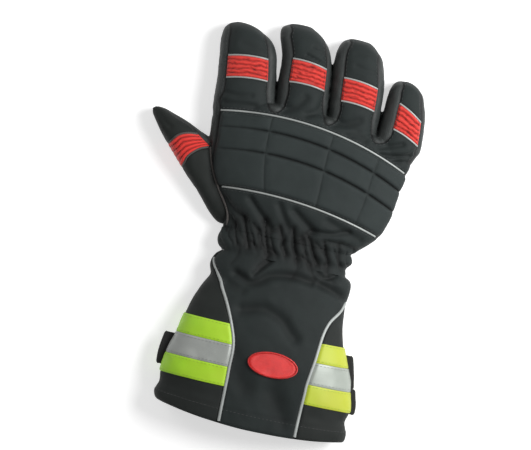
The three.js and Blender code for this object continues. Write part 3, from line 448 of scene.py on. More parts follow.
def remeshed(points, faces, voxel, passes):
    """The outer skin of overlapping closed lofts, in even faces."""
    mesh = bpy.data.meshes.new("balloons")
    mesh.from_pydata((points * MM).tolist(), [], faces)
    maker = bpy.data.objects.new("balloons", mesh)
    bpy.context.scene.collection.objects.link(maker)
    remesh = maker.modifiers.new("even faces", "REMESH")
    remesh.mode = "VOXEL"
    remesh.voxel_size = voxel * MM
    even = maker.modifiers.new("round creases", "SMOOTH")
    even.factor = 0.5
    even.iterations = passes
    finished = bpy.data.meshes.new_from_object(maker.evaluated_get(bpy.context.evaluated_depsgraph_get()))
    result = triangles_of(finished)
    bpy.data.objects.remove(maker)
    for used in (mesh, finished):
        bpy.data.meshes.remove(used)
    return result


def flattened(points):
    """The underside pressed flat against the floor, with a round edge."""
    softness = 0.6
    resting = points.copy()
    resting[:, 2] = (points[:, 2] + np.sqrt(points[:, 2] ** 2 + softness**2)) / 2
    return resting


def normals_of(points, faces):
    """A direction out of the skin at each point."""
    a, b, c = (points[faces[:, k]] for k in range(3))
    face_normals = np.cross(b - a, c - a)
    total = np.zeros_like(points)
    for k in range(3):
        for axis in range(3):
            total[:, axis] += np.bincount(faces[:, k], face_normals[:, axis], len(points))
    return total / np.maximum(np.linalg.norm(total, axis=1), 1e-12)[:, None]


skin_points, skin_faces = remeshed(*balloon(0.0), VOXEL, 8)
skin_points = flattened(skin_points)
skin_normals = normals_of(skin_points, skin_faces)
print("skin:", len(skin_points), "points,", len(skin_faces), "triangles")

# %% [markdown]
# ## Scissors
#
# The skin is cut where a field changes its sign. The field is the distance to the panel's outline,
# so the cut runs exactly along the seam, whatever way the faces lie.

# %% Cut a skin along a line where a field is nought
SNAP = 0.06


def cut(points, faces, field):
    """Splits triangles at the line, and returns the points with the new ones, then both sides' faces."""
    field = np.where(np.abs(field) < SNAP, 0.0, field)
    side = np.sign(field)[faces]
    mixed = (side.max(1) > 0) & (side.min(1) < 0)
    plus = faces[(side.min(1) >= 0) & (side.max(1) > 0)]
    minus = faces[side.max(1) <= 0]
    corners, signs = faces[mixed], side[mixed]
    following = np.roll(corners, -1, axis=1)
    crossed = signs * np.roll(signs, -1, axis=1) < 0
    pairs = np.sort(np.stack([corners[crossed], following[crossed]], 1), axis=1)
    key, place = np.unique(pairs[:, 0] * len(points) + pairs[:, 1], return_inverse=True)
    low, high = key // len(points), key % len(points)
    share = (field[low] / (field[low] - field[high]))[:, None]
    new_points = points[low] + (points[high] - points[low]) * share
    middle = np.full(corners.shape, -1)
    middle[crossed] = len(points) + place.reshape(-1)
    slots = np.stack([corners, middle], 2).reshape(len(corners), 6)
    halves = []
    for sign in (1, -1):
        used = np.stack([signs * sign >= 0, crossed], 2).reshape(len(corners), 6)
        order = np.argsort(~used, axis=1, kind="stable")
        ring = np.take_along_axis(slots, order, 1)
        four = used.sum(1) == 4
        halves.append(np.vstack([ring[:, [0, 1, 2]], ring[four][:, [0, 2, 3]]]))
    everything = np.vstack([points, new_points])
    return everything, np.vstack([plus, halves[0]]), np.vstack([minus, halves[1]])


def tidy(points, faces):
    """Only the points that the faces use."""
    used, renumbered = np.unique(faces, return_inverse=True)
    return points[used], renumbered.reshape(-1, 3)


def finer(points, faces):
    """Each triangle in four."""
    following = np.roll(faces, -1, axis=1)
    pairs = np.sort(np.stack([faces, following], 2).reshape(-1, 2), axis=1)
    key, place = np.unique(pairs[:, 0] * len(points) + pairs[:, 1], return_inverse=True)
    low, high = key // len(points), key % len(points)
    middle = len(points) + place.reshape(-1, 3)
    a, b, c = faces.T
    ab, bc, ca = middle.T
    parts = [np.stack(part, 1) for part in ((a, ab, ca), (ab, b, bc), (ca, bc, c), (ab, bc, ca))]
    return np.vstack([points, (points[low] + points[high]) / 2]), np.vstack(parts)


# %% Cut the panels out
cloth = np.hstack([skin_points, skin_normals])
panels = {}


def take(name, field):
    """Cuts one panel out of what is left of the skin."""
    global cloth, rest
    cloth, taken, rest = cut(cloth, rest, field(cloth))
    panels[name] = tidy(cloth, taken)


rest = skin_faces
cloth, rest, below = cut(cloth, rest, cloth[:, 1] - (WRIST_TOP - 0.2))
cloth, below, _ = cut(cloth, below, cloth[:, 1] - CUFF_TOP)
panels["wrist_gather"] = tidy(cloth, below)
take("palm", lambda p: PALM_SEAM - p[:, 2])
hand_rest = rest
cloth, thumb_faces, hand_rest = cut(cloth, rest, depth_inside(cloth[:, :2], thumb_zone))
rest = thumb_faces
for name in ("thumb_wall", "thumb_base", "elastic_thumb"):
    take(name, lambda p, name=name: depth_inside(p[:, :2], zones[name]))
panels["tip_thumb"] = tidy(cloth, rest)
rest = hand_rest
order = [name for name in zones if name.startswith("sidewall")]
order += [f"elastic_{name}" for name in finger_names] + [f"tip_{name}" for name in finger_names]
for name in [*order, "knuckle_pad", "hand_back"]:
    take(name, lambda p, name=name: depth_inside(p[:, :2], zones[name]))
panels["knuckle_yoke"] = tidy(cloth, rest)
print("panels cut:", {name: len(faces) for name, (points, faces) in panels.items()})

# %% [markdown]
# ## Relief
#
# Sewn cloth swells between its seams and is pulled in at them. Each panel's points move along the
# direction out of the skin: down into every seam, up in between, and by the folds, quilting and
# ribs that the panel has. At the seams all panels move alike, so they stay joined.

# %% Bells, steps, grain and folds
SEAM_DEPTH, SEAM_WIDTH = 0.9, 0.85


def bell(distance, width):
    return np.exp(-((distance / width) ** 2))


def grain(points, size, seed):
    """Soft random heights between -1 and 1, the same on every run."""
    spots = points / size
    cell = np.floor(spots).astype(np.int64)
    t = spots - cell
    t = t * t * (3 - 2 * t)
    total = np.zeros(len(points))
    for corner in np.ndindex(2, 2, 2):
        key = (cell + corner) @ np.array([73856093, 19349663, 83492791]) + seed * 104729
        key = (key ^ (key >> 13)) * 1274126177 & 0xFFFFFFFF
        key = (key ^ (key >> 16)) * 2246822519 & 0xFFFFFFFF
        weight = np.prod(np.where(corner, t, 1 - t), axis=1)
        total += weight * (key / 2**31 - 1)
    return total


def folded(plan, rows, sharp):
    """The depth of folds at points of the plan: each row is a line, its width and its depth."""
    depth = np.zeros(len(plan))
    for line, width, deep in rows:
        away = nearest(plan, curve(line, 2.5)) / (width * (1.25 if sharp else 1))
        depth += deep * np.exp(-away if sharp else -(away**2))
    return depth


HAND_FOLDS = [
    ([(-50, -5), (-41, -12), (-31, -18)], 2.6, 1.6),
    ([(-48, -14), (-42, -19), (-38, -24)], 2.2, 1.7),
    ([(-30, -2), (-21, -11), (-11, -20)], 2.8, 1.8),
    ([(-8, -2), (-3, -10), (3, -19)], 2.8, 1.4),
    ([(4, -4), (12, -10), (21, -16)], 3.2, 2.0),
    ([(20, -16), (34, -15), (47, -11)], 2.2, 1.6),
    ([(34, -21), (46, -21), (54, -23)], 2.0, 1.5),
    ([(30, -6), (42, -10), (56, -14)], 3.2, 1.1),
]
GATHER_CREASES = [
    ([(-38, -21), (-36, -29), (-33, -37)], 1.7, 2.2),
    ([(-32, -17), (-28, -27), (-24, -38)], 1.9, 3.1),
    ([(-20, -24), (-18, -30), (-15, -36)], 1.5, 1.7),
    ([(-16, -16), (-13, -27), (-9, -39)], 1.9, 3.3),
    ([(-4, -18), (0, -27), (5, -37)], 1.9, 3.0),
    ([(6, -17), (9, -27), (13.5, -39)], 1.9, 3.2),
    ([(13, -22), (16.5, -29), (20, -34)], 1.5, 1.7),
    ([(17, -19), (23, -28), (29, -39)], 2.0, 3.2),
    ([(31, -22), (34, -29), (38, -38)], 1.7, 2.1),
    ([(42, -22), (44, -29), (47, -37)], 1.7, 2.2),
    ([(-24, -20), (-19, -24)], 1.5, 1.8),
    ([(-10, -23), (-5, -20.5)], 1.5, 1.6),
    ([(-23, -33), (-18, -36)], 1.5, 1.7),
    ([(-8, -35), (-1, -39)], 1.5, 1.6),
    ([(10, -27), (15, -24)], 1.5, 1.6),
    ([(17, -36), (24, -40)], 1.5, 1.7),
    ([(25, -24), (31, -28)], 1.5, 1.5),
    ([(-7, -39), (-10, -45), (-14, -50)], 2.4, 1.8),
    ([(-30, -39), (-31, -46), (-34, -52)], 2.2, 1.2),
    ([(14, -40), (15, -46), (13, -51)], 2.2, 1.3),
    ([(24, -41), (27, -46), (31, -50)], 2.2, 1.8),
    ([(35, -39), (39, -45), (44, -49)], 2.2, 1.7),
]
YOKE_FOLDS = [
    ([(-66, 72), (-56, 71), (-46, 73)], 2.2, 0.9),
    ([(-64, 64), (-52, 65.5), (-42, 66)], 2.6, 1.0),
    ([(-20, 68), (-12, 72), (-6, 80)], 3.2, 1.3),
    ([(-2, 68), (4, 72), (8, 79)], 3.0, 1.2),
    ([(19, 66), (28, 68), (37, 72)], 3.4, 1.3),
    ([(30, 59), (38, 61), (44, 59)], 2.8, 1.1),
    ([(56, 56), (64, 59), (72, 62)], 2.2, 1.4),
    ([(58, 51), (68, 52), (79, 55)], 1.8, 1.9),
    ([(66, 47), (74, 49), (81, 51)], 1.8, 1.5),
]
TIP_FOLDS = [
    ([(-12, 112), (-5, 110.5), (3, 107.5)], 1.1, 1.0),
    ([(-8, 119), (-2, 118), (2, 115)], 1.3, 0.8),
    ([(-60, 110), (-52, 109), (-44, 110)], 3.0, 0.6),
    ([(26, 112), (34, 110), (42, 110)], 2.0, 0.6),
    ([(24, 121), (32, 122), (39, 120)], 2.4, 0.5),
    ([(-100, 38), (-106, 42), (-110, 46)], 2.0, 0.7),
]
SWELLS = [((-49, -21), 5.5, 1.6), ((-43.5, -27), 3.6, 3.0), ((53.7, -29), 4, 1.3), ((85, 86), 12, 1.2), ((80, 32), 12, -1.1)]
print("folds:", len(HAND_FOLDS) + len(GATHER_CREASES) + len(YOKE_FOLDS) + len(TIP_FOLDS))

# %% How far each panel stands out from the smooth skin
groove_lines = [across(HAND, number, -0.9, 1.0, 60) for number in GROOVES]
cross_seams = [on_plan(HAND, np.linspace(LOWER_PIPING, UPPER_PIPING, 40), share) for share in PAD_SEAMS]
hand_seams = [*wall_lines, thumb_line, upper_line, lower_line, *[line for pair in insert_lines for line in pair]]
pad_edge = hand_edge(UPPER_PIPING, LOWER_PIPING, -0.96, 60)
PAD_RISE, GROOVE_WIDTH = 2.4, 1.5


def to_seam(name, points):
    """The distance of each point to the nearest seam of its part of the glove."""
    plan = points[:, :2]
    best = np.full(len(points), 99.0) if name == "wrist_gather" else np.abs(points[:, 2] - PALM_SEAM)
    lines = hand_seams
    if "thumb" in name:
        lines = [thumb_line, thumb_wall] + (thumb_lines if name != "thumb_wall" else [])
    elif name.startswith("sidewall"):
        lines = [*wall_lines, thumb_line]
    for line in lines:
        near = (plan > line.min(0) - 12).all(1) & (plan < line.max(0) + 12).all(1)
        best[near] = np.minimum(best[near], nearest(plan[near], line))
    return best


def gathering(points):
    """The pinches where the cloth is drawn in above and below the wrist, as a depth."""
    up = step_up(10, 20, points[:, 2])
    slanted = (points[:, 0] + 0.45 * (points[:, 1] + 27)) / 8.0 + 0.4 * grain(points, 8.0, 51)
    ruffle = (1 - np.abs(np.sin(math.pi * slanted))) ** 2
    share = bell(points[:, 1] + 31, 9) * (0.75 + 0.45 * grain(points, 10.0, 52))
    return up * (folded(points[:, :2], GATHER_CREASES, sharp=True) + 1.5 * ruffle * share)


def side_puffs(points):
    """Upright ruffles round the sides and the underside of the wrist."""
    side = 1 - step_up(12, 22, points[:, 2])
    turn = np.arctan2(3 * (points[:, 2] - 13), points[:, 0] - 4.5)
    ruffle = (1 - np.abs(np.sin(9 * turn + 0.04 * points[:, 1] + grain(points, 9, 53)))) ** 2
    return side * 1.5 * ruffle * bell(points[:, 1] + 34, 8)


def quilting(points, away, facing):
    """The height of the knuckle pad's rows, and its painted shade in the grooves and along the cross seams."""
    plan = points[:, :2]
    groove = np.min([nearest(plan, line) for line in groove_lines], axis=0)
    seam = np.min([nearest(plan, line) for line in cross_seams], axis=0)
    inner = step_up(1.5, 9, nearest(plan, pad_edge)) * (0.35 + 0.65 * facing)
    inner = inner * (0.4 + 0.6 * step_up(-62, -10, plan[:, 0])) * (1 - 0.75 * bell(seam, 1.5))
    rows = 1 - inner * (0.34 * bell(groove, GROOVE_WIDTH) + 0.6 * np.exp(-groove / 0.5))
    seams_down = 0.45 * bell(seam, 0.7) + 0.35 * bell(seam, 3.0)
    puckers = 0.16 * grain(points, 3.0, 4) * bell(np.minimum(seam, groove), 4)
    rise = PAD_RISE * (0.15 + 0.85 * facing) * (1 - bell(away, 2.2))
    swell = 0.22 * grain(points, 12, 5) + 0.1 * grain(points, 5, 15)
    height = rise * rows - seams_down + puckers + swell
    # The second value is painted shade in the grooves and along the cross seams.
    return height, inner * bell(groove, 0.8) + 0.35 * bell(seam, 0.45)


def ribs(points, low_line, high_line, count, seed, unrest):
    """Ribs of a shirred elastic band between two seams, and a painted shade that is darkest deep in each groove."""
    plan = points[:, :2]
    low, high = nearest(plan, low_line), nearest(plan, high_line)
    along = low / (low + high)
    wave = unrest * (0.065 * grain(points, 7.5, seed) + 0.04 * grain(points, 2.4, seed + 1))
    crest = np.abs(np.sin(math.pi * count * (along + wave * np.sin(math.pi * along))))
    split = unrest * np.maximum(0, grain(points * (1, 3.2, 1), 3.2, seed + 2) - 0.25)
    return 1.7 * crest**0.6 - 0.9 - 1.0 * split, np.clip(1 - crest**0.5 + 0.8 * split, 0, 1)


def relief(name, points, normals):
    """The height of a panel above the smooth skin, and its painted shade in the seams, gathers and folds."""
    plan = points[:, :2]
    facing = step_up(0.0, 0.75, normals[:, 2])
    away = to_seam(name, points)
    if name == "palm":
        away = np.abs(points[:, 2] - PALM_SEAM)
    seam = -SEAM_DEPTH * bell(away, SEAM_WIDTH) * (0.15 + 0.85 * facing)
    # Painted shade along every seam.
    crease = bell(away, 0.75)
    pinch = gathering(points)
    puff = (0.15 + 0.45 * facing) * (1 - bell(away, 4.0))
    free = 1 - bell(away, 1.5)
    folds = 0
    if name.startswith("elastic"):
        digit = name.split("_")[1]
        lines = thumb_lines if digit == "thumb" else insert_lines[finger_names.index(digit)]
        unrest = 0.35 if digit == "thumb" else 1.0
        rise, crease = ribs(points, *lines, 5, 11 + 5 * list(panels).index(name), unrest)
        puff = 0.2 + rise * (1 - bell(away, 0.9)) * (0.25 + 0.75 * facing)
        free = 1.0
    elif name.startswith("sidewall"):
        puff = (0.1 + 0.5 * facing) * (1 - bell(away, 2.2)) + 0.25 * grain(points, 5.0, 3) + 0.1 * grain(points, 2.1, 8)
    elif name == "knuckle_pad":
        puff, groove = quilting(points, away, facing)
        crease = np.maximum(crease, groove)
    elif name == "knuckle_yoke":
        folds = 1.3 * folded(plan, YOKE_FOLDS, sharp=False)
        puff = puff - folds + 0.4 * grain(points, 8, 6) + 0.2
    elif name == "hand_back":
        folds = 1.35 * facing * folded(plan, HAND_FOLDS, sharp=False)
        puff = puff - folds + 0.3 * grain(points, 7, 7)
    elif name.startswith("tip"):
        folds = 1.2 * folded(plan, TIP_FOLDS, sharp=False)
        puff = puff - folds + 0.26 * grain(points, 9, 9)
    elif name == "thumb_base":
        puff = puff + 0.5 * grain(points, 10, 2) + 0.2 * grain(points, 4, 12)
    elif name == "palm":
        puff = step_up(1.0, 3.0, points[:, 2]) * (0.4 + 0.2 * grain(points, 6, 1))
        pinch = 0
    elif name == "wrist_gather":
        puff = 0.3 + 0.4 * grain(points, 6, 13) * step_up(0, 6, points[:, 1] - CUFF_TOP)
        pinch = pinch + side_puffs(points)
    swell = sum(by * bell(np.hypot(*(plan - centre).T), reach) for centre, reach, by in SWELLS) * (1 - facing)
    ends = np.minimum(np.abs(points[:, 1] - WRIST_TOP), np.abs(points[:, 1] - CUFF_TOP))
    notch = 1.2 * bell(ends, 1.5) * (1 - step_up(16, 26, points[:, 2]))
    height = 0.25 * (name != "palm") + seam + free * puff + swell - pinch - notch
    # The second value is painted shade: darkest in the seams, then in the gather's pinches and in the folds.
    return height, np.clip(crease + 0.38 * pinch + 0.13 * folds, 0, 1)


# %% [markdown]
# ## Turning panels into cloth
#
# Real cloth and leather have a thickness, so a panel becomes a closed sheet: the same points once
# more further in, and a rim round the edge. Solidify would do that too, but not follow the smooth
# skin's own directions, which keep neighbouring panels together without a slit.

# %% Sew one panel
CLOTH = 1.3


def thickened(points, normals, faces, depth):
    """A closed sheet of cloth: the points, the same ones further in, and a rim round the edge."""
    depth = np.broadcast_to(depth, len(points))[:, None]
    count = len(points)
    edges = np.vstack([faces[:, [0, 1]], faces[:, [1, 2]], faces[:, [2, 0]]])
    ends = np.sort(edges, axis=1)
    _, first, times = np.unique(ends[:, 0] * count + ends[:, 1], return_index=True, return_counts=True)
    a, b = edges[first[times == 1]].T
    walls = np.vstack([np.stack([b, a, a + count], 1), np.stack([b, a + count, b + count], 1)])
    inner = points - normals * depth
    inner[:, 2] = np.maximum(inner[:, 2], 0.02)
    return np.vstack([points, inner]), np.vstack([faces, faces[:, ::-1] + count, walls])


def sewn(name, points, faces, finish, slot, *nodes, crease=None):
    """A finished piece from points in millimetres: it rides on the glove and stands for its nodes."""
    mesh = bpy.data.meshes.new(name)
    mesh.vertices.add(len(points))
    mesh.vertices.foreach_set("co", (points * MM).ravel())
    mesh.loops.add(faces.size)
    mesh.loops.foreach_set("vertex_index", faces.ravel().astype(np.int32))
    mesh.polygons.add(len(faces))
    mesh.polygons.foreach_set("loop_start", np.arange(0, faces.size, faces.shape[1], dtype=np.int32))
    mesh.update(calc_edges=True)
    mesh.shade_smooth()
    mesh.set_sharp_from_angle(angle=math.radians(50))
    # The painted shade is stored on the points for the finishes to read.
    if crease is not None:
        mark = mesh.attributes.new("crease", "FLOAT", "POINT")
        mark.data.foreach_set("value", crease.astype(np.float32))
    mesh.materials.append(finish)
    made = bpy.data.objects.new(name, mesh)
    bpy.context.scene.collection.objects.link(made)
    return settled(made, slot, *nodes)


def settled(made, slot, *nodes):
    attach(made, "root")
    if nodes:
        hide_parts(*nodes)
    return made


# %% [markdown]
# ## Finishes
#
# Every cloth and the leather is a recipe of nodes: its colour, a weave or grain in the bump, and a
# roughness that changes a little. The patterns read the Object coordinates, in millimetres here, so
# they have their real size on every piece. Python's own signs build the maths.

# %% A wrapper for sockets and a maker of nodes
class Wire:
    """An output socket that Python's own signs work on."""

    def __init__(self, recipe, socket):
        self.recipe = recipe
        self.socket = socket

    def math(self, operation, *others):
        return self.recipe.node("ShaderNodeMath", {"operation": operation}, (self, *others))

    def __add__(self, other):
        return self.math("ADD", other)

    def __mul__(self, other):
        return self.math("MULTIPLY", other)

    def __sub__(self, other):
        return self.math("SUBTRACT", other)

    def __rsub__(self, other):
        return self.recipe.node("ShaderNodeMath", {"operation": "SUBTRACT"}, (other, self))

    def __truediv__(self, other):
        return self.math("DIVIDE", other)

    def __pow__(self, other):
        return self.math("POWER", other)

    __radd__ = __add__
    __rmul__ = __mul__


class Recipe:
    """The nodes of one finish."""

    def __init__(self, name):
        self.material = bpy.data.materials.new(name)
        self.material.use_nodes = True
        self.tree = self.material.node_tree
        self.tree.nodes.clear()
        place = self.node("ShaderNodeTexCoord", output="Object")
        self.place = self.node("ShaderNodeVectorMath", {"operation": "SCALE"}, {"Vector": place, "Scale": 1000.0})

    def node(self, kind, settings=None, values=(), output=0):
        made = self.tree.nodes.new(kind)
        for name, value in (settings or {}).items():
            if name == "stops":
                self.stops(made.color_ramp, value)
            else:
                setattr(made, name, value)
        for socket, value in values.items() if isinstance(values, dict) else enumerate(values):
            if isinstance(value, Wire):
                self.tree.links.new(value.socket, made.inputs[socket])
            elif made.inputs[socket].type == "RGBA" and len(value) == 3:
                made.inputs[socket].default_value = (*value, 1.0)
            else:
                made.inputs[socket].default_value = value
        return Wire(self, made.outputs[output])

    def stops(self, ramp, stops):
        for place, (at, colour) in enumerate(stops):
            element = ramp.elements[place] if place < 2 else ramp.elements.new(at)
            element.position = at
            element.color = (*colour, 1.0)

    def sides(self):
        """The three coordinates, in millimetres."""
        split = self.node("ShaderNodeSeparateXYZ", None, (self.place,))
        return [Wire(self, socket) for socket in split.socket.node.outputs]

    def noise(self, size, detail=3.0, rough=0.55):
        values = {"Vector": self.place, "Scale": 1 / size, "Detail": detail, "Roughness": rough}
        return self.node("ShaderNodeTexNoise", None, values, "Fac")

    def between(self, share, low, high):
        """A colour between two others."""
        return self.node("ShaderNodeMix", {"data_type": "RGBA"}, {0: share, 6: low, 7: high}, 2)

    def bump(self, height, distance, strength=1.0, under=None):
        values = {"Height": height, "Distance": distance * MM, "Strength": strength}
        if under is not None:
            values["Normal"] = under
        return self.node("ShaderNodeBump", None, values)

    def finish(self, colour, roughness, normal, **plain):
        """Ends the recipe in a Principled shader; plain values are the same all over."""
        values = {"Base Color": colour, "Roughness": roughness, "Normal": normal, **plain}
        shader = self.node("ShaderNodeBsdfPrincipled", None, values)
        self.node_end(shader)
        return self.material

    def node_end(self, shader):
        end = self.tree.nodes.new("ShaderNodeOutputMaterial")
        self.tree.links.new(shader.socket, end.inputs["Surface"])


def with_painted_shade(recipe, colour, amount):
    """The colour with painted shade: darker where the panel's painted shade attribute marks seams, creases and folds.
    """
    crease = recipe.node("ShaderNodeAttribute", {"attribute_name": "crease"}, (), "Fac")
    return recipe.between(crease * amount, colour, (0.002, 0.002, 0.002))


def woven(recipe, pitch):
    """A plain weave: threads go over and under each other, also on steep sides."""
    x, y, z = recipe.sides()
    warp = (x + z * 0.71) * (2 * math.pi / pitch)
    weft = (y + z * 0.62) * (2 * math.pi / pitch)
    over = (warp * 0.5).math("SINE") * (weft * 0.5).math("SINE")
    pick = over.math("GREATER_THAN", 0.0)
    up = warp.math("SINE") * 0.5 + 0.5
    side = weft.math("SINE") * 0.5 + 0.5
    return up * pick + side * (1 - pick)


# %% Shell cloth, leather and liner
def shell_cloth(name, dark, light, pitch=0.8):
    recipe = Recipe(name)
    weave = woven(recipe, pitch)
    mottle = recipe.noise(14.0, 4.0)
    fleck = recipe.noise(1.1, 2.0)
    shade = mottle * 0.75 + weave * 0.2 + fleck * 0.3
    # Painted shade: the cloth is darkened where its panel marks seams, creases and folds.
    colour = with_painted_shade(recipe, recipe.between(shade - 0.2, dark, light), 0.8)
    normal = recipe.bump(weave + fleck * 0.6, 0.12, 0.6)
    rough = 0.66 + mottle * 0.14
    return recipe.finish(colour, rough, normal, **{"Specular IOR Level": 0.28, "Sheen Weight": 0.03})


def glove_leather(name, dark, light):
    recipe = Recipe(name)
    values = {"Vector": recipe.place, "Scale": 1 / 1.3, "Randomness": 0.9}
    pebbles = recipe.node("ShaderNodeTexVoronoi", {"feature": "DISTANCE_TO_EDGE"}, values, "Distance")
    pores = recipe.noise(0.5, 2.0)
    wear = recipe.noise(9.0, 5.0, 0.65)
    height = pebbles.math("MINIMUM", 0.3) * 2.2 + pores * 0.25
    # Painted shade: the leather is darkened where its panel marks seams, creases and folds.
    colour = with_painted_shade(recipe, recipe.between(wear * 0.8 + pebbles * 0.7 - 0.15, dark, light), 0.85)
    normal = recipe.bump(height, 0.22, 0.6)
    return recipe.finish(colour, 0.52 + wear * 0.2, normal, **{"Specular IOR Level": 0.36})


cloth_finish = shell_cloth("shell cloth", (0.0048, 0.0078, 0.0076), (0.0168, 0.0236, 0.0228))
# Painted shade: the cuff's side and the thumb get darker copies of the shell cloth.
shaded_side_finish = shell_cloth("cuff side cloth in painted shade", (0.0050, 0.0070, 0.0062), (0.0168, 0.0202, 0.0184))
shaded_thumb_finish = shell_cloth("thumb cloth in painted shade", (0.0038, 0.0056, 0.0048), (0.0126, 0.0158, 0.0140))
pad_finish = shell_cloth("pad cloth", (0.0085, 0.0130, 0.0128), (0.0262, 0.0345, 0.0338))
leather_finish = glove_leather("glove leather", (0.016, 0.0195, 0.019), (0.048, 0.0535, 0.052))
liner_finish = shell_cloth("knitted liner", (0.028, 0.030, 0.032), (0.075, 0.078, 0.082), 1.6)
print("finishes:", len(bpy.data.materials))


# %% Elastic, tapes, pipings, webbing and thread
def band_elastic(name, dark, light):
    recipe = Recipe(name)
    crease = recipe.node("ShaderNodeAttribute", {"attribute_name": "crease"}, (), "Fac")
    x, y, z = recipe.sides()
    knit = ((x * 0.97 + y * 0.2) * (2 * math.pi / 0.75)).math("SINE") * 0.5 + 0.5
    streak = recipe.noise(2.2, 4.0)
    # Painted shade: the elastic is darker deep in its rib grooves, where the painted shade attribute marks them.
    colour = recipe.between(crease * 0.95 + streak * 0.35 - 0.18, light, dark)
    normal = recipe.bump(knit + streak * 0.7, 0.14, 0.7)
    return recipe.finish(colour, 0.62 + streak * 0.15, normal, **{"Sheen Weight": 0.12})


def beaded_tape(name, dark, light, right):
    """Grey reflective tape, with a fine net of glass beads in it, and a painted highlight that makes it brighter
    towards the right.
    """
    recipe = Recipe(name)
    x, y, z = recipe.sides()
    net = woven(recipe, 1.1)
    cells = {"Vector": recipe.place, "Scale": 2.6}
    beads = recipe.node("ShaderNodeTexVoronoi", None, cells, "Distance")
    haze = recipe.noise(16.0, 3.0)
    colour = recipe.between(haze * 0.7 + beads * 0.3 + net * 0.12 - 0.1, dark, light)
    # Painted highlight: as x grows, the colour moves to the right-hand colour.
    colour = recipe.between((x + 40) / 80, colour, right)
    normal = recipe.bump(net * 0.5 + beads * 0.4, 0.05, 0.6)
    return recipe.finish(colour, 0.36 + haze * 0.18, normal, Metallic=0.15)


def bright_tape(name, green, yellow, tape_left, tape_right):
    """Fluorescent tape, greener on the thumb's side and yellower on the other."""
    recipe = Recipe(name)
    x, y, z = recipe.sides()
    net = woven(recipe, 0.9)
    haze = recipe.noise(11.0, 3.0)
    share = (x - tape_left) / (tape_right - tape_left) + (haze - 0.5) * 0.35
    colour = recipe.between(share, green, yellow)
    colour = recipe.between(net * 0.12 + haze * 0.1, colour, (0.16, 0.36, 0.01))
    normal = recipe.bump(net, 0.06, 0.7)
    return recipe.finish(colour, 0.5 + haze * 0.1, normal, **{"Sheen Weight": 0.05})


def corded(name, dark, light, pitch, turn, rough=0.6):
    """Threads side by side, as in webbing, satin stitch and cord."""
    recipe = Recipe(name)
    x, y, z = recipe.sides()
    lay = x * math.cos(turn) + y * math.sin(turn) + z * 0.6
    wobble = recipe.noise(3.0, 2.0)
    thread = (lay * (2 * math.pi / pitch) + wobble * 1.6).math("SINE") * 0.5 + 0.5
    colour = recipe.between(thread * 0.6 + wobble * 0.5 - 0.1, dark, light)
    normal = recipe.bump(thread + wobble * 0.4, 0.12, 0.8)
    return recipe.finish(colour, rough + wobble * 0.15, normal, **{"Sheen Weight": 0.1})


red_finish = band_elastic("red elastic", (0.17, 0.006, 0.005), (0.60, 0.026, 0.016))
deep_red_finish = band_elastic("red elastic of the thumb", (0.13, 0.005, 0.004), (0.66, 0.022, 0.014))
silver_finish = beaded_tape("silver tape", (0.20, 0.21, 0.205), (0.44, 0.46, 0.43), (0.31, 0.34, 0.305))
piping_finish = beaded_tape("reflective piping", (0.20, 0.21, 0.205), (0.40, 0.42, 0.41), (0.34, 0.36, 0.35))
bright_finish = bright_tape("bright tape", (0.34, 0.65, 0.012), (0.44, 0.46, 0.030), -62.0, 62.0)
dull_finish = corded("dull piping", (0.026, 0.023, 0.021), (0.085, 0.075, 0.069), 0.9, 0.7)
webbing_finish = corded("webbing", (0.002, 0.002, 0.002), (0.012, 0.012, 0.012), 1.2, 0.15, 0.7)
satin_finish = corded("satin stitch", (0.42, 0.010, 0.012), (0.80, 0.035, 0.030), 0.55, 1.25, 0.42)
black_thread = corded("black thread", (0.010, 0.011, 0.011), (0.045, 0.047, 0.047), 0.35, 0.8, 0.6)
grey_thread = corded("grey thread", (0.10, 0.105, 0.10), (0.24, 0.25, 0.24), 0.35, 0.8, 0.6)
lime_thread = corded("lime thread", (0.16, 0.30, 0.01), (0.34, 0.52, 0.02), 0.35, 0.8, 0.6)
print("finishes:", len(bpy.data.materials))

# %% [markdown]
# ## The panels of the hand
#
# Now every panel is raised, folded or ribbed, made thick and finished. The quilted pad is scored
# along its grooves first, so that faces end exactly in the fold, and the elastic gets finer faces.

# %% Raise and sew the panels
cloth_slots = {
    "palm": (leather_finish, "leather"),
    "sidewall": (leather_finish, "leather"),
    "thumb_wall": (leather_finish, "leather"),
    "elastic": (red_finish, "red_elastic"),
    "knuckle_pad": (pad_finish, "pad_fabric"),
    "thumb_base": (shaded_thumb_finish, "shell_fabric"),
    "tip_thumb": (shaded_thumb_finish, "shell_fabric"),
}
raised = []
for name, (panel, faces) in panels.items():
    if name == "knuckle_pad":
        for line in groove_lines:
            panel, above, under = cut(panel, faces, panel[:, 1] - np.interp(panel[:, 0], *line.T))
            faces = np.vstack([above, under])
        for line in cross_seams:
            panel, above, under = cut(panel, faces, panel[:, 0] - np.interp(panel[:, 1], *line.T[::-1]))
            faces = np.vstack([above, under])
    if name.startswith("elastic"):
        panel, faces = finer(panel, faces)
    points, normals = panel[:, :3], panel[:, 3:]
    normals = normals / np.linalg.norm(normals, axis=1)[:, None]
    height, crease = relief(name, points, normals)
    moved = points + normals * height[:, None]
    moved[:, 2] = np.maximum(moved[:, 2], 0.02)
    raised.append((moved, faces))
    sheet = thickened(moved, normals, faces, CLOTH)
    key = next((key for key in cloth_slots if name.startswith(key)), None)
    finish, slot = cloth_slots.get(key, (cloth_finish, "shell_fabric"))
    if name == "elastic_thumb":
        finish = deep_red_finish
    node = [name] if name in frame["nodes"] else []
    made = sewn(f"{name}_panel", *sheet, finish, slot, *node, crease=np.tile(crease, 2))
    name == "knuckle_pad"
print("hand panels:", len(panels))

# %% [markdown]
# ## The flared cuff
#
# Below the wrist the glove is a wide tube. Its sections follow the same kind of ladder, so each of
# its panels is a grid of points: rows down the arm, columns round the section. Grids keep the tapes
# straight and the hem clean. The first rows are drawn onto the skin, where the gather ends.

